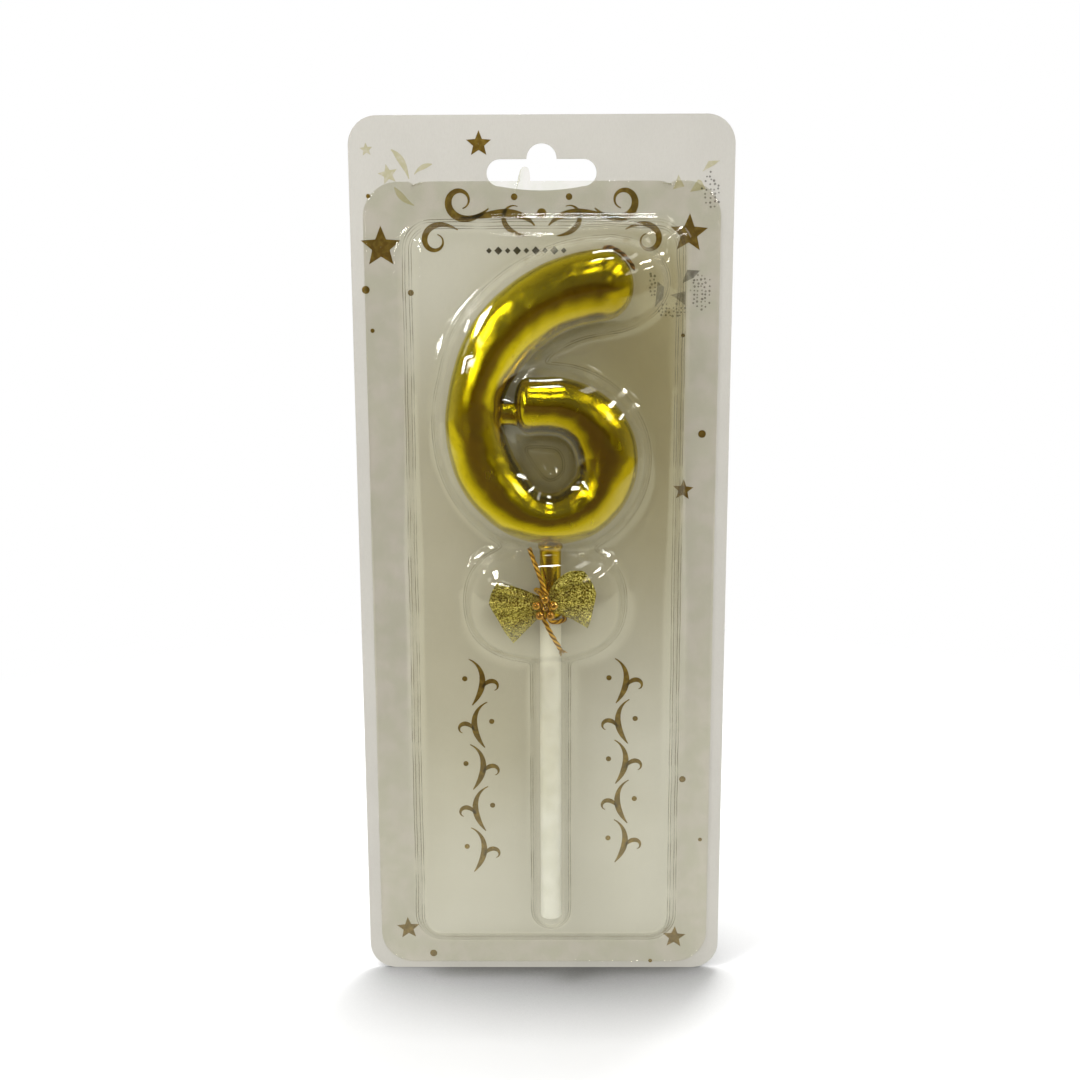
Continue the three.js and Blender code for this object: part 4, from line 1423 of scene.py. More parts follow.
@dataclass
class Numeral:
    """The gold wax numeral, its web and its wick."""

    where: CardFrame
    path: StrokePath
    middle_depth: float = 6.9
    half_depth: float = 6.6
    blunt: float = 3.4
    roundness: Pair = (2.3, 2.1)
    steps: int = 420
    sides: int = 112
    # Height of each wave in the skin, radians along the numeral, waves round it, and lead
    skin_waves: tuple[tuple[float, float, float, float], ...] = (
        (0.035, 41, 2, 0.0),
        (0.03, 73, -3, 1.3),
        (0.02, 151, 4, 0.4),
    )
    skin_inset: float = 0.06
    web_left: float = -12.4
    web_right: float = -4.4
    web_half_height: float = 2.5
    web_half_depth: float = 1.5
    web_drop: float = 1.9
    web_flare: float = 0.7
    web_roundness: float = 2.2
    wick_radius: float = 0.5
    wick_gap: float = 0.3

    def build(self) -> None:
        """Makes the numeral and its wick."""
        gold = GoldCoat().material()
        body = Form.merged([self.stroke(), self.web()])
        dressed(body.piece("gold_numeral", gold), Body.CANDLE, Slot.WAX, "number_six")
        yarn = SpunThread("wick_yarn", (122, 82, 36), (52, 28, 10), 0.1, 2, 9).material()
        dressed(self.wick().piece("wick_thread", yarn), Body.CANDLE, Slot.WICK, "wick")

    def stroke(self) -> Form:
        """Oval carried along the line: (half width + wave) cos a across, (half depth + wave) sin a
        deep, both times how far it is closed. The wave is a few hundredths of a millimetre.

        Returns:
            The closed form.
        """
        stations = self.path.stations(self.steps, 0.0, self.blunt, 26, self.roundness)
        points, directions, half, closing = stations
        angle = round_steps(self.sides)[None, :]
        run = np.linspace(0, 1, len(points))[:, None]
        wave = -self.skin_inset
        for rise, along, about, lead in self.skin_waves:
            wave = wave + rise * np.sin(along * run + about * angle + lead)
        across = (half[:, None] + wave) * closing[:, None] * np.cos(angle)
        deep = (self.half_depth + wave) * closing[:, None] * np.sin(angle)
        x = points[:, :1] - directions[:, 1:] * across
        height = points[:, 1:] + directions[:, :1] * across
        return Form.closed(self.where.place(x, self.middle_depth + deep, height))

    def web(self) -> Form:
        """Thin bridge between the blunt end and the spine, flared where it meets them.

        Half its height and half its depth grow with the fourth power of the run towards both ends.

        Returns:
            The closed form.
        """
        run = np.linspace(-1, 1, 25)[:, None]
        angle = round_steps(40)[None, :]
        flare = 1 + self.web_flare * run**4
        wide, high = squared(angle, self.web_roundness)
        x = (self.web_left + self.web_right) / 2 + run * (self.web_right - self.web_left) / 2
        level = self.path.crown() - self.web_drop
        height = level + self.web_half_height * flare * wide
        depth = self.middle_depth + self.web_half_depth * flare * high
        return Form.closed(self.where.place(x, depth, height))

    def wick(self) -> Form:
        """Twisted yarn out of the tip and along its crown: a circle whose radius waves twice.

        Returns:
            The closed form.
        """
        centre, radius = self.path.tip()
        laid = radius + self.wick_gap + self.wick_radius
        degrees = np.array([80, 80, 80, 77, 71, 58, 46, 34, 22])
        inside = [radius - 6, radius - 2, radius]
        reach = np.array([*inside, laid - 0.2, laid, laid, laid, laid, laid + 0.05])
        angle = np.radians(degrees)
        route = np.stack([centre[0] + reach * np.cos(angle), centre[1] + reach * np.sin(angle)], axis=1)
        line = smooth_curve(route, 150)
        run = np.linspace(0, 1, len(line))[:, None]
        around = round_steps(20)[None, :]
        frayed = 1 - 0.35 * smooth_step(run, 0.93, 1.0)
        radii = self.wick_radius * MM * frayed * (0.86 + 0.14 * np.cos(2 * around + 60 * run))
        points = self.where.place(line[:, 0], np.full(len(line), self.middle_depth), line[:, 1])
        return Form.closed(tube(points, radii, 20))


# ---- neck and stick


@dataclass
class Stem:
    """Gold neck and milky stick, both turned about the stem's upright axis."""

    where: CardFrame
    axis: Pair = (1.8, 6.9)
    radius: float = 2.5
    bore: float = 1.9
    plug: float = 1.6
    collar: float = 2.85
    tenon: float = 1.5
    plug_length: float = 8.0
    tenon_length: float = 6.0
    stick_foot: float = 17.7
    stick_top: float = 91.7
    shoulder: float = 92.0
    neck_top: float = 108.5
    sides: int = 96

    def build(self) -> None:
        """Makes the neck and the stick."""
        gold = GoldCoat("neck_gold", (188, 160, 20), (110, 80, 8), 0.2, 0.000012).material()
        points = turned_shape(self.where, self.axis, self.neck_profile(), self.sides)
        neck = Form.closed(points)
        dressed(neck.piece("gold_neck_post", gold), Body.CANDLE, Slot.NECK, "neck_post")
        points = turned_shape(self.where, self.axis, self.stick_profile(), self.sides)
        stick = Form.grid(points, ring=True).facing_out()
        dressed(stick.piece("milky_stick", MilkyTube().material()), Body.CANDLE, Slot.STICK, "stick")

    def neck_profile(self) -> Array:
        """Radius and height from the plug's foot to the tenon's top, with eased edges.

        Returns:
            A pair to a row.
        """
        radius, shoulder, top = self.radius, self.shoulder, self.neck_top
        plug_foot = shoulder - self.plug_length
        tenon_top = top + self.tenon_length
        rows = [
            (0.02, plug_foot),
            (self.plug - 0.3, plug_foot),
            (self.plug, plug_foot + 0.6),
            (self.plug, shoulder),
            (radius - 0.25, shoulder),
            (radius - 0.06, shoulder + 0.07),
            (radius, shoulder + 0.25),
            (radius - 0.02, shoulder + 5),
            (radius - 0.05, shoulder + 10),
            (radius, top - 1.2),
            (radius + 0.04, top - 0.85),
            (self.collar - 0.12, top - 0.62),
            (self.collar, top - 0.45),
            (self.collar, top + 0.45),
            (self.tenon, top + 0.6),
            (self.tenon, tenon_top),
            (0.02, tenon_top),
        ]
        return np.array(rows)

    def stick_profile(self) -> Array:
        """Radius and height round the wall of the tube, closed on itself, with rolled lips.

        Returns:
            A pair to a row.
        """
        turn = np.linspace(-math.pi, 0, 9)
        half = (self.radius - self.bore) / 2
        middle = (self.radius + self.bore) / 2
        across, up = half * np.cos(turn), half * (1 + np.sin(turn))
        foot = np.stack([middle + across, self.stick_foot + up], axis=1)
        head = np.stack([middle - across, self.stick_top - up], axis=1)
        return np.vstack([foot, head, foot[:1]])


# ---- bow


@dataclass(frozen=True)
class Wing:
    """One half of the bow, from the pinch out to its cut edge.

    Each row of the cloth is a quadratic curve from the pinch through a middle point to the cut
    edge. Places are x and height from the pinch, at the lower and the upper selvedge.

    Attributes:
        edge: Three points of the cut edge, from the lower to the upper corner.
        seed: What sets its folds apart from the other wing's.
        crisp: How much of the cut edge's middle corner shows: 0 is a curve, 1 a corner.
    """

    low_middle: Pair
    high_middle: Pair
    edge: tuple[Pair, ...]
    seed: int
    crisp: float = 0.55

    def flat(self, reach: Array, rib: Array, pinch_half: float) -> Array:
        """Place in x and height of the cloth.

        Args:
            reach: 0 at the pinch, 1 at the cut edge.
            rib: 0 at the lower selvedge, 1 at the upper.
            pinch_half: Half the height of the pinch.

        Returns:
            Points, x and height on the last axis.
        """
        start = np.stack([np.zeros_like(rib), (2 * rib - 1) * pinch_half], axis=-1)
        low, high = np.array(self.low_middle), np.array(self.high_middle)
        middle = low + (high - low) * rib[..., None]
        first, second, third = np.array(self.edge)
        share = rib[..., None]
        bend = 2 * second - (first + third) / 2
        soft = (1 - share) ** 2 * first + 2 * share * (1 - share) * bend + share**2 * third
        lower = first + (second - first) * share * 2
        upper = second + (third - second) * (share * 2 - 1)
        sharp = np.where(share < 0.5, lower, upper)
        finish = (1 - self.crisp) * soft + self.crisp * sharp
        control = 2 * middle - (start + finish) / 2
        along = reach[..., None]
        return (1 - along) ** 2 * start + 2 * along * (1 - along) * control + along**2 * finish


@dataclass
class Bow:
    """Glitter ribbon bow with a flower of beads, tied by a metallic cord."""

    where: CardFrame
    x: float = 0.6
    height: float = 95.2
    depth: float = 10.25
    pinch_half: float = 1.6
    ribbon_width: float = 14.0
    wing_length: float = 12.1
    pleat: float = 0.42
    crease: float = 0.16
    ripple: float = 0.1
    gather: float = 0.035
    forward: float = 0.7
    thickness: float = 0.16
    bead_depth: float = 13.575
    ring_radius: float = 2.05
    petal_radius: float = 1.075
    centre_radius: float = 0.75
    cord_radius: float = 0.55
    cord_length: float = 54.96
    cord_plies: int = 3
    cord_turns: int = 30
    fray_strands: int = 17
    fray_radius: float = 0.085
    fray_reach: Pair = (0.8, 1.7)
    fray_spread: Pair = (0.25, 0.85)
    left: Wing = Wing((-2.9, -4.6), (-5.2, 3.9), ((-7.1, -8.9), (-12.6, 0.5), (-10.5, 5.5)), 3)
    right: Wing = Wing((4.6, -2.7), (3.6, 7.0), ((9.5, -5.4), (11.4, 3.0), (8.6, 8.0)), 5)
    # x, depth and height along the cord
    cord_route: Places = (
        (-3.09, 6.90, 107.95), (-2.52, 7.51, 106.51), (-1.96, 8.13, 105.07),
        (-1.39, 8.74, 103.63), (-0.82, 9.35, 102.19), (-0.25, 9.97, 100.75),
        (0.31, 10.58, 99.31), (0.91, 11.22, 97.89), (1.35, 11.71, 96.39),
        (1.31, 11.73, 94.72), (1.36, 11.59, 93.07), (1.97, 10.95, 91.68),
        (3.19, 10.03, 91.18), (4.42, 8.95, 91.29), (5.09, 7.43, 91.32),
        (4.95, 5.88, 91.84), (4.24, 4.62, 92.66), (3.17, 3.85, 93.65),
        (1.92, 3.55, 94.71), (0.67, 3.75, 95.77), (-0.46, 4.43, 96.78),
        (-1.24, 5.61, 97.64), (-1.53, 7.11, 98.26), (-0.87, 8.62, 98.36),
        (-0.51, 10.23, 98.34), (-0.24, 11.49, 97.51), (-0.09, 11.69, 95.89),
        (-0.15, 11.60, 94.22), (0.19, 12.01, 92.68), (0.85, 12.46, 91.23),
        (1.59, 12.59, 89.74), (2.37, 12.50, 88.27), (3.18, 12.32, 86.83),
        (4.00, 12.09, 85.40),
    )

    def build_cord(self) -> None:
        """Makes the tie cord and its frayed end."""
        plies, turns = self.cord_plies, self.cord_turns
        lurex = SpunThread("lurex_cord", (230, 182, 66), (112, 68, 12), 0.75, plies, turns).material()
        route = np.array(self.cord_route)
        points = self.where.place(route[:, 0], route[:, 1], route[:, 2])
        line = smooth_curve(points, 420)
        run = np.linspace(0, 1, len(line))[:, None]
        around = round_steps(24)[None, :]
        strands = 0.9 + 0.1 * np.cos(plies * around + 2 * math.pi * turns * run)
        cord = Form.closed(tube(line, self.cord_radius * MM * strands, 24))
        piece = dressed(cord.piece("lurex_tie_cord", lurex), Body.BOW, Slot.CORD, "tie_cord")
        fray = dressed(self.fray(line).piece("cord_fray", lurex), Body.BOW, Slot.CORD)

    def fray(self, line: Array) -> Form:
        """Loose strands that spread from the cord's cut end.

        Each strand leaves along the cord and bends outwards by the square of its run.

        Args:
            line: The cord's middle line.

        Returns:
            All the strands.
        """
        generator = np.random.default_rng(SEED)
        end = line[-1]
        direction = line[-1] - line[-8]
        direction /= np.linalg.norm(direction)
        steps = 12
        run = np.linspace(-0.4, 1, steps)[:, None]
        strands = []
        for angle in round_steps(self.fray_strands):
            reach = generator.uniform(*self.fray_reach) * MM
            side = np.array([math.cos(angle), 0.25 * math.sin(angle), math.sin(angle)])
            side -= direction * (side @ direction)
            spread = generator.uniform(*self.fray_spread) * MM
            root = end + side * 0.3 * MM
            points = root + direction * reach * run + side * spread * np.clip(run, 0, 1) ** 2
            radii = np.full(steps, self.fray_radius * MM)
            strands.append(Form.closed(tube(points, radii, 6)))
        return Form.merged(strands)

    def build(self) -> None:
        """Makes the ribbon and the flower of beads."""
        weave = GlitterWeave().material()
        wings = [self.wing(self.left, -1.0), self.wing(self.right, 1.0)]
        ribbon = Form.merged([*wings, self.waist()]).piece("glitter_ribbon", weave)
        dressed(ribbon, Body.BOW, Slot.RIBBON, "bow_ribbon")
        amber = AmberBead().material()
        for number, turn in enumerate(math.pi / 2 + round_steps(5), 1):
            petal = self.bead(self.ring_radius, turn, self.petal_radius)
            piece = petal.piece(f"amber_petal_{number}", amber)
            dressed(piece, Body.BOW, Slot.BEAD, f"petal_bead_{number}")
        middle = self.bead(0.0, 0.0, self.centre_radius)
        dark = AmberBead("amber_bead", (120, 60, 8), (40, 16, 2)).material()
        dressed(middle.piece("amber_centre", dark), Body.BOW, Slot.BEAD, "centre_bead")

    def wing(self, wing: Wing, side: float) -> Form:
        """One wing as a thin sheet: pleats are cosines of the rib that fade in from the pinch.

        Args:
            wing: Its outline.
            side: -1 on the left, 1 on the right.

        Returns:
            The sheet with its thickness.
        """
        reach, rib = np.meshgrid(np.linspace(0.04, 1, 90), np.linspace(0, 1, 120), indexing="ij")
        place = wing.flat(reach, rib, self.pinch_half)
        phase = wing.seed * 0.7
        pleats = (
            self.pleat * np.sqrt(reach) * np.cos(3 * math.pi * (2 * rib - 1) + 0.2 * phase)
            + self.crease * smooth_step(reach, 0, 0.25) * np.cos(9 * math.pi * rib + phase)
            + self.ripple * reach * np.sin(7 * math.pi * reach + 5 * rib + phase)
            + self.gather * np.cos(31 * math.pi * rib + 2 * np.sin(4 * reach + phase))
        )
        depth = self.depth + self.forward * reach + pleats
        x = self.x + side * 0.25 + place[..., 0]
        height = self.height + place[..., 1]
        front = self.where.place(x, depth + self.thickness / 2, height)
        back = self.where.place(x, depth - self.thickness / 2, height)
        sheet = np.concatenate([front, back[:, ::-1]], axis=1)
        return Form.grid(sheet, ring=True, folded=True, lay=(2.0, 1.0))

    def waist(self) -> Form:
        """The gathered middle of the ribbon: a flat oval with creases along it.

        Returns:
            The closed form.
        """
        run = np.linspace(-1, 1, 24)[:, None]
        angle = round_steps(72)[None, :]
        crease = 1 + 0.08 * np.cos(9 * angle)
        high = self.pinch_half * (0.86 + 0.14 * run**2) * crease * np.cos(angle)
        deep = (0.5 - 0.12 * run**2) * crease * np.sin(angle)
        points = self.where.place(self.x + 0.9 * run, self.depth + deep, self.height + high)
        return Form.closed(points)

    def bead(self, ring: float, turn: float, radius: float) -> Form:
        """A pressed bead: a ball with soft facets round it and a dimple at each pole.

        Args:
            ring: How far its middle is from the flower's.
            turn: Where it is round the flower, in radians.
            radius: Its radius.

        Returns:
            The bead.
        """
        rise = np.linspace(-math.pi / 2 + 0.02, math.pi / 2 - 0.02, 26)[:, None]
        angle = round_steps(40)[None, :]
        facet = 1 - 0.03 * np.cos(7 * angle) * np.cos(rise) ** 2
        reach = radius * facet * np.cos(rise)
        x = self.x + ring * math.cos(turn) + reach * np.cos(angle)
        height = self.height + ring * math.sin(turn) + reach * np.sin(angle)
        depth = self.bead_depth + radius * (np.sin(rise) - 0.1 * np.sin(rise) ** 15) * facet**0.5
        return Form.closed(self.where.place(x, depth, height))


# ---- blister


@dataclass
class Blister:
    """Clear formed sheet: one height field over the flange, rounded as forming rounds it.

    The highest of the tray, the numeral's bubble, the bow's bubble and the stem's channel is
    taken at each place, and then blurred, which fills the corners between them.
    """

    where: CardFrame
    path: StrokePath
    half_width: float = 40.5
    foot: float = 1.8
    top: float = 190.57
    corner: float = 8.0
    sheet: float = 0.4
    flange_depth: float = 0.45
    # Left, right, foot and top
    tray: tuple[float, float, float, float] = (-32.5, 33.5, 7.5, 182.97)
    tray_corner: float = 7.5
    tray_depth: float = 5.5
    tray_draft: float = 4.4
    numeral_margin: float = 2.6
    numeral_rise: float = 8.8
    blunt: float = 2.6
    dome_roundness: float = 2.4
    skirt_reach: float = 2.7
    skirt_rise: float = 1.1
    bow_middle: Pair = (0.6, 95.2)
    bow_half: Pair = (18.5, 14.1)
    bow_rise: float = 9.75
    bow_roundness: float = 2.8
    stem_x: float = 1.8
    stem_half: float = 4.5
    stem_rise: float = 4.7
    stem_span: Pair = (18.75, 110.0)
    blur: float = 0.6
    fine: float = 0.25
    step: float = 0.62
    dip: float = 0.8
    dip_half: float = 1.8
    dip_x: float = 28.0
    nub_x: float = -3.7
    nub_half: float = 1.15
    nub_rise: float = 3.1

    def build(self) -> None:
        """Makes the sheet."""
        piece = self.shell().piece("clear_blister", ClearSheet().material())
        wall = piece.modifiers.new("wall", "SOLIDIFY")
        wall.thickness = self.sheet * MM
        wall.offset = -1.0
        dressed(piece, Body.BLISTER, Slot.BLISTER, "blister_shell")

    def depths(self) -> tuple[Array, Array, Array]:
        """Depth of the sheet's front on a fine even grid.

        Returns:
            The x lines, the height lines and the depth, heights by x.
        """
        xs = np.arange(-self.half_width - 2, self.half_width + 2, self.fine)
        heights = np.arange(self.foot - 2, self.top + 5, self.fine)
        x, height = np.meshgrid(xs, heights)
        shapes = (self.tray_form, self.bow_form, self.stem_form, self.numeral_form)
        return xs, heights, self.blurred(np.maximum.reduce([shape(x, height) for shape in shapes]))

    def blurred(self, depth: Array) -> Array:
        """Blurs by a Gaussian, whose transform is exp(-2 (pi sigma f)^2).

        Args:
            depth: Depths on the fine grid.

        Returns:
            The rounded depths.
        """
        rows = np.fft.fftfreq(depth.shape[0], self.fine)[:, None]
        columns = np.fft.rfftfreq(depth.shape[1], self.fine)[None, :]
        keep = np.exp(-2 * (math.pi * self.blur) ** 2 * (rows**2 + columns**2))
        return np.fft.irfft2(np.fft.rfft2(depth) * keep, depth.shape)

    def tray_form(self, x: Array, height: Array) -> Array:
        """Flange and tray: the depth rises in proportion to how far inside the outline it is.

        Args:
            x: Places across.
            height: Places up.

        Returns:
            Depths.
        """
        left, right, foot, top = self.tray
        beyond_x = np.abs(x - (left + right) / 2) - ((right - left) / 2 - self.tray_corner)
        beyond_z = np.abs(height - (foot + top) / 2) - ((top - foot) / 2 - self.tray_corner)
        outside = np.hypot(np.maximum(beyond_x, 0), np.maximum(beyond_z, 0))
        inside = self.tray_corner - outside - np.minimum(np.maximum(beyond_x, beyond_z), 0)
        rise = self.tray_depth - self.flange_depth
        return self.flange_depth + rise * np.clip(inside / self.tray_draft, 0, 1)

    def dome(
        self, far: Array, rise: Array | float, roundness: float, half: Array | float
    ) -> Array:
        """Depth of a dome whose height is rise (1 - far^n)^(1/n) above the tray, with a hollow
        skirt about it whose height falls with the square of how far out it is.

        Args:
            far: 0 at the dome's middle and 1 at its rim.
            rise: Its height.
            roundness: The n above.
            half: Half its width, which turns far into millimetres.

        Returns:
            The depth, or 0 beyond the skirt.
        """
        inside = np.clip(1 - np.clip(far, 0, 1) ** roundness, 0, 1)
        skirt = np.clip(1 - (far - 1) * half / self.skirt_reach, 0, 1)
        above = np.maximum(rise * inside ** (1 / roundness), self.skirt_rise * skirt**2)
        return np.where(skirt > 0, self.tray_depth + above, 0)

    def bow_form(self, x: Array, height: Array) -> Array:
        """Oval bubble over the bow: a superellipse seen from the front.

        Args:
            x: Places across.
            height: Places up.

        Returns:
            Depths, 0 beyond its skirt.
        """
        across = np.abs(x - self.bow_middle[0]) / self.bow_half[0]
        up = np.abs(height - self.bow_middle[1]) / self.bow_half[1]
        far = (across**self.dome_roundness + up**self.dome_roundness) ** (1 / self.dome_roundness)
        return self.dome(far, self.bow_rise, self.bow_roundness, self.bow_half[1])

    def stem_form(self, x: Array, height: Array) -> Array:
        """Channel over the stem, round at its foot.

        Args:
            x: Places across.
            height: Places up.

        Returns:
            Depths, 0 beyond its skirt.
        """
        low, high = self.stem_span
        beyond = height - np.clip(height, low, high)
        far = np.hypot(x - self.stem_x, beyond) / self.stem_half
        return self.dome(far, self.stem_rise, self.dome_roundness, self.stem_half)

    def numeral_form(self, x: Array, height: Array) -> Array:
        """Bubble that follows the numeral: at each place the highest of the domes that are
        centred on the stroke's stations, as wide as the stroke and its margin.

        Args:
            x: Places across.
            height: Places up.

        Returns:
            Depths, 0 away from the numeral.
        """
        points, _, half, closing = self.path.stations(
            170, self.numeral_margin, self.blunt, 8, (self.dome_roundness, self.dome_roundness)
        )
        reach = half.max() + self.skirt_reach + 1
        low, high = points.min(axis=0) - reach, points.max(axis=0) + reach
        near = (x > low[0]) & (x < high[0]) & (height > low[1]) & (height < high[1])
        spots = np.stack([x[near], height[near]], axis=1).astype(np.float32)
        best = np.zeros(len(spots), np.float32)
        for chunk in np.array_split(np.arange(len(points)), 12):
            gaps = spots[:, None] - points[chunk].astype(np.float32)
            wide = (half * closing)[chunk].astype(np.float32)
            far = np.hypot(gaps[..., 0], gaps[..., 1]) / wide
            rise = (self.numeral_rise * closing[chunk]).astype(np.float32)
            domes = self.dome(far, rise, self.dome_roundness, wide)
            best = np.maximum(best, domes.max(axis=1))
        depth = np.zeros_like(x)
        depth[near] = best
        return depth

    def head_line(self, x: Array) -> Array:
        """How far the top edge stands above the flange's top: two dips and a round nub.

        Args:
            x: Places across.

        Returns:
            Millimetres, below 0 in a dip.
        """
        dips = sum(np.clip(1 - ((x - side * self.dip_x) / self.dip_half) ** 2, 0, 1) for side in (-1, 1))
        nub = np.clip(1 - np.abs((x - self.nub_x) / self.nub_half) ** 3, 0, 1) ** (1 / 2.2)
        return self.nub_rise * nub - self.dip * dips

    def shell(self) -> Form:
        """Front of the sheet: a grid squeezed to the flange's outline, set to the field's depth.

        Returns:
            The front, without its thickness.
        """
        turn = np.linspace(0, math.pi / 2, 14)
        foot_rows = self.foot + self.corner * (1 - np.cos(turn))
        middle = np.arange(self.foot + self.corner, self.top - self.corner, self.step)[1:]
        heights = np.concatenate([foot_rows, middle, self.top + self.foot - foot_rows[::-1]])
        from_end = np.minimum(heights - self.foot, self.top - heights)
        drop = np.clip(self.corner - from_end, 0, self.corner)
        half = self.half_width - self.corner + np.sqrt(self.corner**2 - drop**2)
        narrow = self.half_width - self.corner
        plain = np.linspace(-1, 1, int(2 * self.half_width / self.step))
        nub = (self.nub_x + self.nub_half * np.cos(np.linspace(0, math.pi, 12))) / narrow
        away = np.abs(plain - self.nub_x / narrow) > 1.06 * self.nub_half / narrow
        columns = np.sort(np.concatenate([plain[away], nub]))
        x = half[:, None] * columns[None, :]
        height = np.broadcast_to(heights[:, None], x.shape)
        lifted = smooth_step(height, self.top - 5, self.top) * self.head_line(narrow * columns)[None, :]
        depth = self.sampled(x, height)
        return Form.grid(self.where.place(x, depth, height + lifted))

    def sampled(self, x: Array, height: Array) -> Array:
        """Reads the fine grid between its lines, straight in both directions.

        Args:
            x: Places across.
            height: Places up.

        Returns:
            Depths.
        """
        xs, heights, depth = self.depths()
        column = (x - xs[0]) / self.fine
        row = (height - heights[0]) / self.fine
        left = np.clip(column.astype(int), 0, len(xs) - 2)
        low = np.clip(row.astype(int), 0, len(heights) - 2)
        across, up = column - left, row - low
        lower = depth[low, left] * (1 - across) + depth[low, left + 1] * across
        upper = depth[low + 1, left] * (1 - across) + depth[low + 1, left + 1] * across
        return lower * (1 - up) + upper * up


# ---- card and its print


@dataclass(frozen=True)
class Star:
    """A printed star: its middle, its width and its turn in degrees."""

    x: float
    height: float
    width: float
    turn: float = 0.0


@dataclass(frozen=True)
class Stroke:
    """A pen stroke on a spiral: its start, its first heading in degrees, its first and last bend
    in degrees to a millimetre, its length and its greatest width.
    """

    x: float
    height: float
    heading: float
    bends: Pair
    length: float
    width: float

    def mirrored(self) -> Stroke:
        """The same stroke on the other side of x = 0."""
        first, last = self.bends
        return Stroke(-self.x, self.height, 180 - self.heading, (-first, -last), self.length, self.width)


@dataclass(frozen=True)
class Spray:
    """An oval of fine dots: its middle, half its width and height, and the step of its dots."""

    x: float
    height: float
    half: Pair
    step: float


@dataclass
class HangCard:
    """The backing card's finish and the ornament printed on it."""

    where: CardFrame
    print_depth: float = 0.02
    stars: tuple[Star, ...] = (
        Star(-14.1, 198.7, 5.6, 0), Star(-36.6, 176.3, 9.0, 0), Star(33.4, 179.0, 8.4, -2),
        Star(33.0, 120.6, 4.8, -4), Star(-33.9, 10.5, 5.6, 3), Star(32.6, 8.1, 5.6, -3),
    )
    # x, height and radius
    dots: Places = (
        (-39.2, 187.5, 0.5), (-40.3, 166.8, 0.9), (-39.0, 157.6, 0.5), (-30.0, 166.1, 0.7),
        (32.4, 156.3, 0.45), (37.2, 133.7, 0.9), (34.0, 49.5, 0.8), (38.6, 33.9, 0.5),
        (-27.7, 3.8, 0.9), (26.7, 1.8, 0.5),
    )
    curls: tuple[Stroke, ...] = (
        Stroke(1.6, 180.9, 52, (-10.4, 4.8), 17.5, 1.9),
        Stroke(12, 184.7, -40, (3.2, 33), 21.5, 1.7),
        Stroke(19, 180, 30, (-4, -37), 18.5, 1.4),
        Stroke(3.4, 178.6, 8, (3, 30), 12, 1.2),
    )
    # x, foot and top
    tendrils: Places = ((-15.7, 25.5, 79.0), (19.1, 28.0, 79.0))
    tendril_leaves: int = 5
    lozenge_height: float = 175.4
    pale_stars: tuple[Star, ...] = (Star(-39.4, 197.6, 2.9, 5), Star(-34.6, 192.2, 4.4, 12))
    streamers: tuple[Stroke, ...] = (
        Stroke(-33.8, 197.6, -36, (-8, -2), 7.6, 1.5),
        Stroke(-24.6, 194.4, 190, (5, 14), 4.8, 1.1),
        Stroke(-33.2, 189.4, -58, (4, 8), 6.0, 1.4),
    )
    pale_shards: tuple[tuple[Pair, ...], ...] = (
        ((36.2, 192.5), (38.8, 193.9), (40.1, 194.9), (37.5, 194.8)),
        ((29.6, 188.7), (32.2, 189.3), (30.8, 191.9)),
        ((33.4, 188.1), (37.0, 188.7), (36.0, 190.6), (35.2, 190.8)),
    )
    grey_shards: tuple[tuple[Pair, ...], ...] = (
        ((25.9, 162.8), (27.7, 164.6), (27.9, 167.2), (26.4, 168.4)),
        ((29.4, 165.4), (30.9, 164.6), (32.7, 163.1), (32.8, 166.2)),
        ((32.0, 168.0), (34.6, 169.2), (36.0, 170.8), (33.1, 171.0)),
    )
    sprays: tuple[Spray, ...] = (
        Spray(25.2, 167.6, (1.1, 2.9), 0.8), Spray(30.2, 161.8, (4.4, 1.9), 0.85),
        Spray(36.4, 166.2, (2.5, 5.0), 0.85), Spray(38.4, 188.2, (2.3, 5.2), 0.95),
    )

    def build(self, card: Object) -> None:
        """Dresses the CAD card and lays its print over it, one piece to an ink.

        Args:
            card: The CAD node of the card.
        """
        card.data.materials.clear()
        card.data.materials.append(CoatedCard().material())
        prints = {
            "gold_print": (PrintInk("print_gold", (104, 80, 8), (134, 108, 34), 0.35), self.ornament),
            "black_print": (PrintInk("print_black", (40, 36, 30), (70, 64, 54)), self.lozenges),
            "beige_print": (PrintInk("print_beige", (176, 170, 138), (186, 180, 158)), self.faint_marks),
            "grey_print": (PrintInk("print_grey", (118, 115, 108), (150, 147, 140)), self.confetti),
        }
        for name, (ink, shapes) in prints.items():
            dressed(Form.merged(shapes()).piece(name, ink.material(), False), Body.CARD, Slot.CARD)

    def outline(self, middle: Pair, rim: Array) -> Form:
        """A flat shape as a ring of quads between its rim and a small core.

        Args:
            middle: x and height of its middle.
            rim: Rim points from the middle, one to a row.

        Returns:
            The shape, facing forwards.
        """
        rings = np.stack([rim, rim * 0.02])
        points = self.where.place(middle[0] + rings[..., 0], self.print_depth, middle[1] + rings[..., 1])
        return Form.grid(points, ring=True)

    def star(self, star: Star) -> Form:
        """A five-pointed star: the rim's radius steps between its points and its notches.

        Args:
            star: Its place, width and turn.

        Returns:
            The star, facing forwards.
        """
        angle = np.radians(90 + star.turn) + np.arange(10) * math.pi / 5
        radius = np.where(np.arange(10) % 2 == 0, 0.53, 0.235) * star.width
        rim = radius[:, None] * np.stack([np.cos(angle), np.sin(angle)], axis=1)
        return self.outline((star.x, star.height), rim)

    def dot(self, x: float, height: float, radius: float) -> Form:
        """A round dot."""
        angle = round_steps(24)
        return self.outline((x, height), radius * np.stack([np.cos(angle), np.sin(angle)], axis=1))

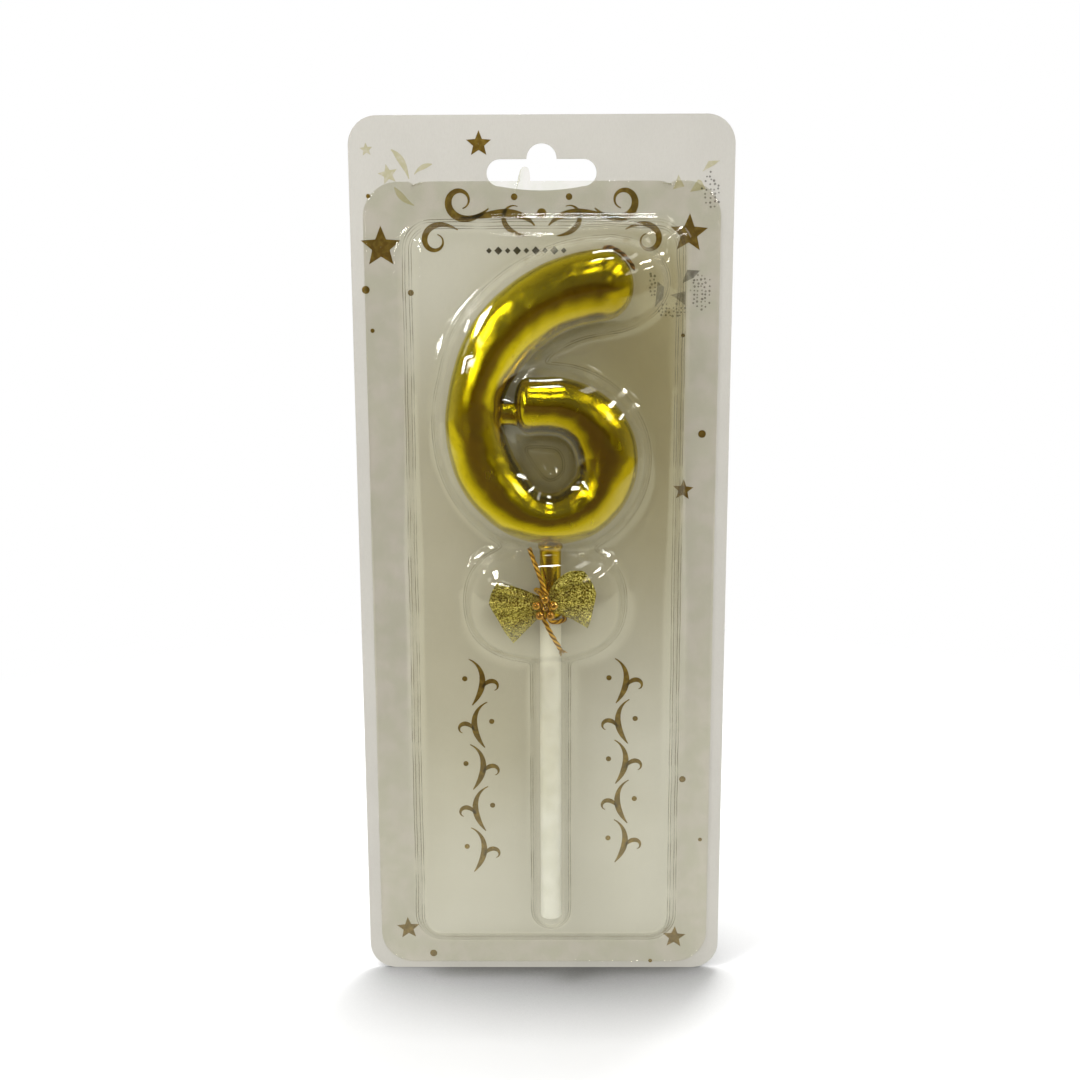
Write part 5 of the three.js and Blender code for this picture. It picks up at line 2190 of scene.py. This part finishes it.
    def swash(self, stroke: Stroke) -> Form:
        """A pen stroke as a flat strip, thin at both ends.

        Its heading is the integral of the bend, and its place the integral of the heading.

        Args:
            stroke: Its start, heading, bends, length and width.

        Returns:
            The stroke, facing forwards.
        """
        run = np.linspace(0, 1, 70)
        step = stroke.length / (len(run) - 1)
        first, last = stroke.bends
        bend = np.radians(first + (last - first) * run)
        angle = math.radians(stroke.heading) + np.concatenate([[0], np.cumsum(bend[1:])]) * step
        walk = np.stack([np.cos(angle), np.sin(angle)], axis=1) * step
        walked = np.concatenate([[[0, 0]], np.cumsum(walk[:-1], axis=0)])
        line = np.array([stroke.x, stroke.height]) + walked
        half = stroke.width / 2 * (0.18 + 0.82 * np.sin(math.pi * run**0.8) ** 1.5)
        side = np.stack([-np.sin(angle), np.cos(angle)], axis=1) * half[:, None]
        edges = np.stack([line + side, line - side], axis=1)
        return Form.grid(self.where.place(edges[..., 0], self.print_depth, edges[..., 1]))

    def ornament(self) -> list[Form]:
        """Everything in gold: stars, dots, the scroll over the tray and the runs beside the stick.

        Returns:
            Its shapes.
        """
        shapes = [self.star(star) for star in self.stars]
        shapes += [self.dot(*dot) for dot in self.dots]
        for side in (-1, 1):
            shapes += [self.swash(curl if side > 0 else curl.mirrored()) for curl in self.curls]
            shapes.append(self.dot(side * 6.2, 187.2, 0.75))
        shapes.append(self.dot(0, 183.6, 1.1))
        for tendril in self.tendrils:
            shapes += self.tendril(*tendril)
        return shapes

    def tendril(self, x: float, low: float, high: float) -> list[Form]:
        """An upright run of leaves, each with a curl and a dot, that lean to either side in turn.

        Args:
            x: Its middle.
            low: Height of its foot.
            high: Height of its top.

        Returns:
            Its shapes.
        """
        step = (high - low) / self.tendril_leaves
        shapes = []
        for number in range(self.tendril_leaves):
            side = 1 if number % 2 == 0 else -1
            height = low + number * step
            leaf = Stroke(x - side * 1.5, height, 90 - side * 38, (side * 3, side * 13), step * 1.25, 1.5)
            curl = Stroke(x + side, height + 0.4 * step, 90 - side * 28, (-side * 8, -side * 62), 6.6, 1.15)
            shapes += [self.swash(leaf), self.swash(curl)]
            shapes.append(self.dot(x - side * 3.2, height + 0.62 * step, 0.65))
        return shapes

    def lozenges(self) -> list[Form]:
        """A row of small black lozenges, small and large in turn.

        Returns:
            Its shapes.
        """
        rim = np.array([(0.95, 0), (0, 0.95), (-0.95, 0), (0, -0.95)])
        sizes = [0.7, 1] * 4 + [0.7]
        spots = np.linspace(-12, 5, len(sizes))
        return [self.outline((x, self.lozenge_height), rim * size) for x, size in zip(spots, sizes)]

    def shard(self, corners: tuple[Pair, ...]) -> Form:
        """A flat shape between corners that go round against the clock.

        Args:
            corners: x and height of each.

        Returns:
            The shape, facing forwards.
        """
        rim = np.array(corners)
        middle = rim.mean(axis=0)
        return self.outline(tuple(middle), rim - middle)

    def spray(self, generator: np.random.Generator, spray: Spray) -> list[Form]:
        """Fine dots on an even grid within an oval, each moved and sized by chance.

        Args:
            generator: Where the chance comes from.
            spray: The oval.

        Returns:
            The dots.
        """
        half = spray.half
        across, up = (np.arange(-reach, reach, spray.step) for reach in half)
        x, height = (part.ravel() for part in np.meshgrid(across, up))
        x, height = x + generator.uniform(-0.2, 0.2, len(x)), height + generator.uniform(-0.2, 0.2, len(x))
        within = (x / half[0]) ** 2 + (height / half[1]) ** 2 < generator.uniform(0.3, 1.1, len(x))
        radii = generator.uniform(0.17, 0.29, len(x))
        kept = zip(x[within], height[within], radii[within])
        return [self.dot(spray.x + right, spray.height + high, radius) for right, high, radius in kept]

    def faint_marks(self) -> list[Form]:
        """Faint beige stars, streamers and shards at the two upper corners.

        Returns:
            Its shapes.
        """
        shapes = [self.star(star) for star in self.pale_stars]
        shapes += [self.swash(streamer) for streamer in self.streamers]
        return shapes + [self.shard(corners) for corners in self.pale_shards]

    def confetti(self) -> list[Form]:
        """Grey shards and sprays of fine dots at the right, beside the numeral's tip and above.

        Returns:
            Its shapes.
        """
        generator = np.random.default_rng(SEED)
        shapes = [self.shard(corners) for corners in self.grey_shards]
        for spray in self.sprays:
            shapes += self.spray(generator, spray)
        return shapes


# ---- main


def main() -> None:
    """Builds the studio, the cord, and every other piece round the frame."""
    logging.basicConfig(level=logging.INFO, format="%(name)s: %(message)s")
    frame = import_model()
    bpy.context.scene.view_settings.view_transform = "Standard"
    where = CardFrame.of_card()
    Studio().build(where)
    bow = Bow(where)
    bow.build_cord()
    path = StrokePath()
    HangCard(where).build(frame["nodes"]["backing_card"])
    Numeral(where, path).build()
    Stem(where).build()
    bow.build()
    Blister(where, path).build()


if __name__ == "__main__":
    main()
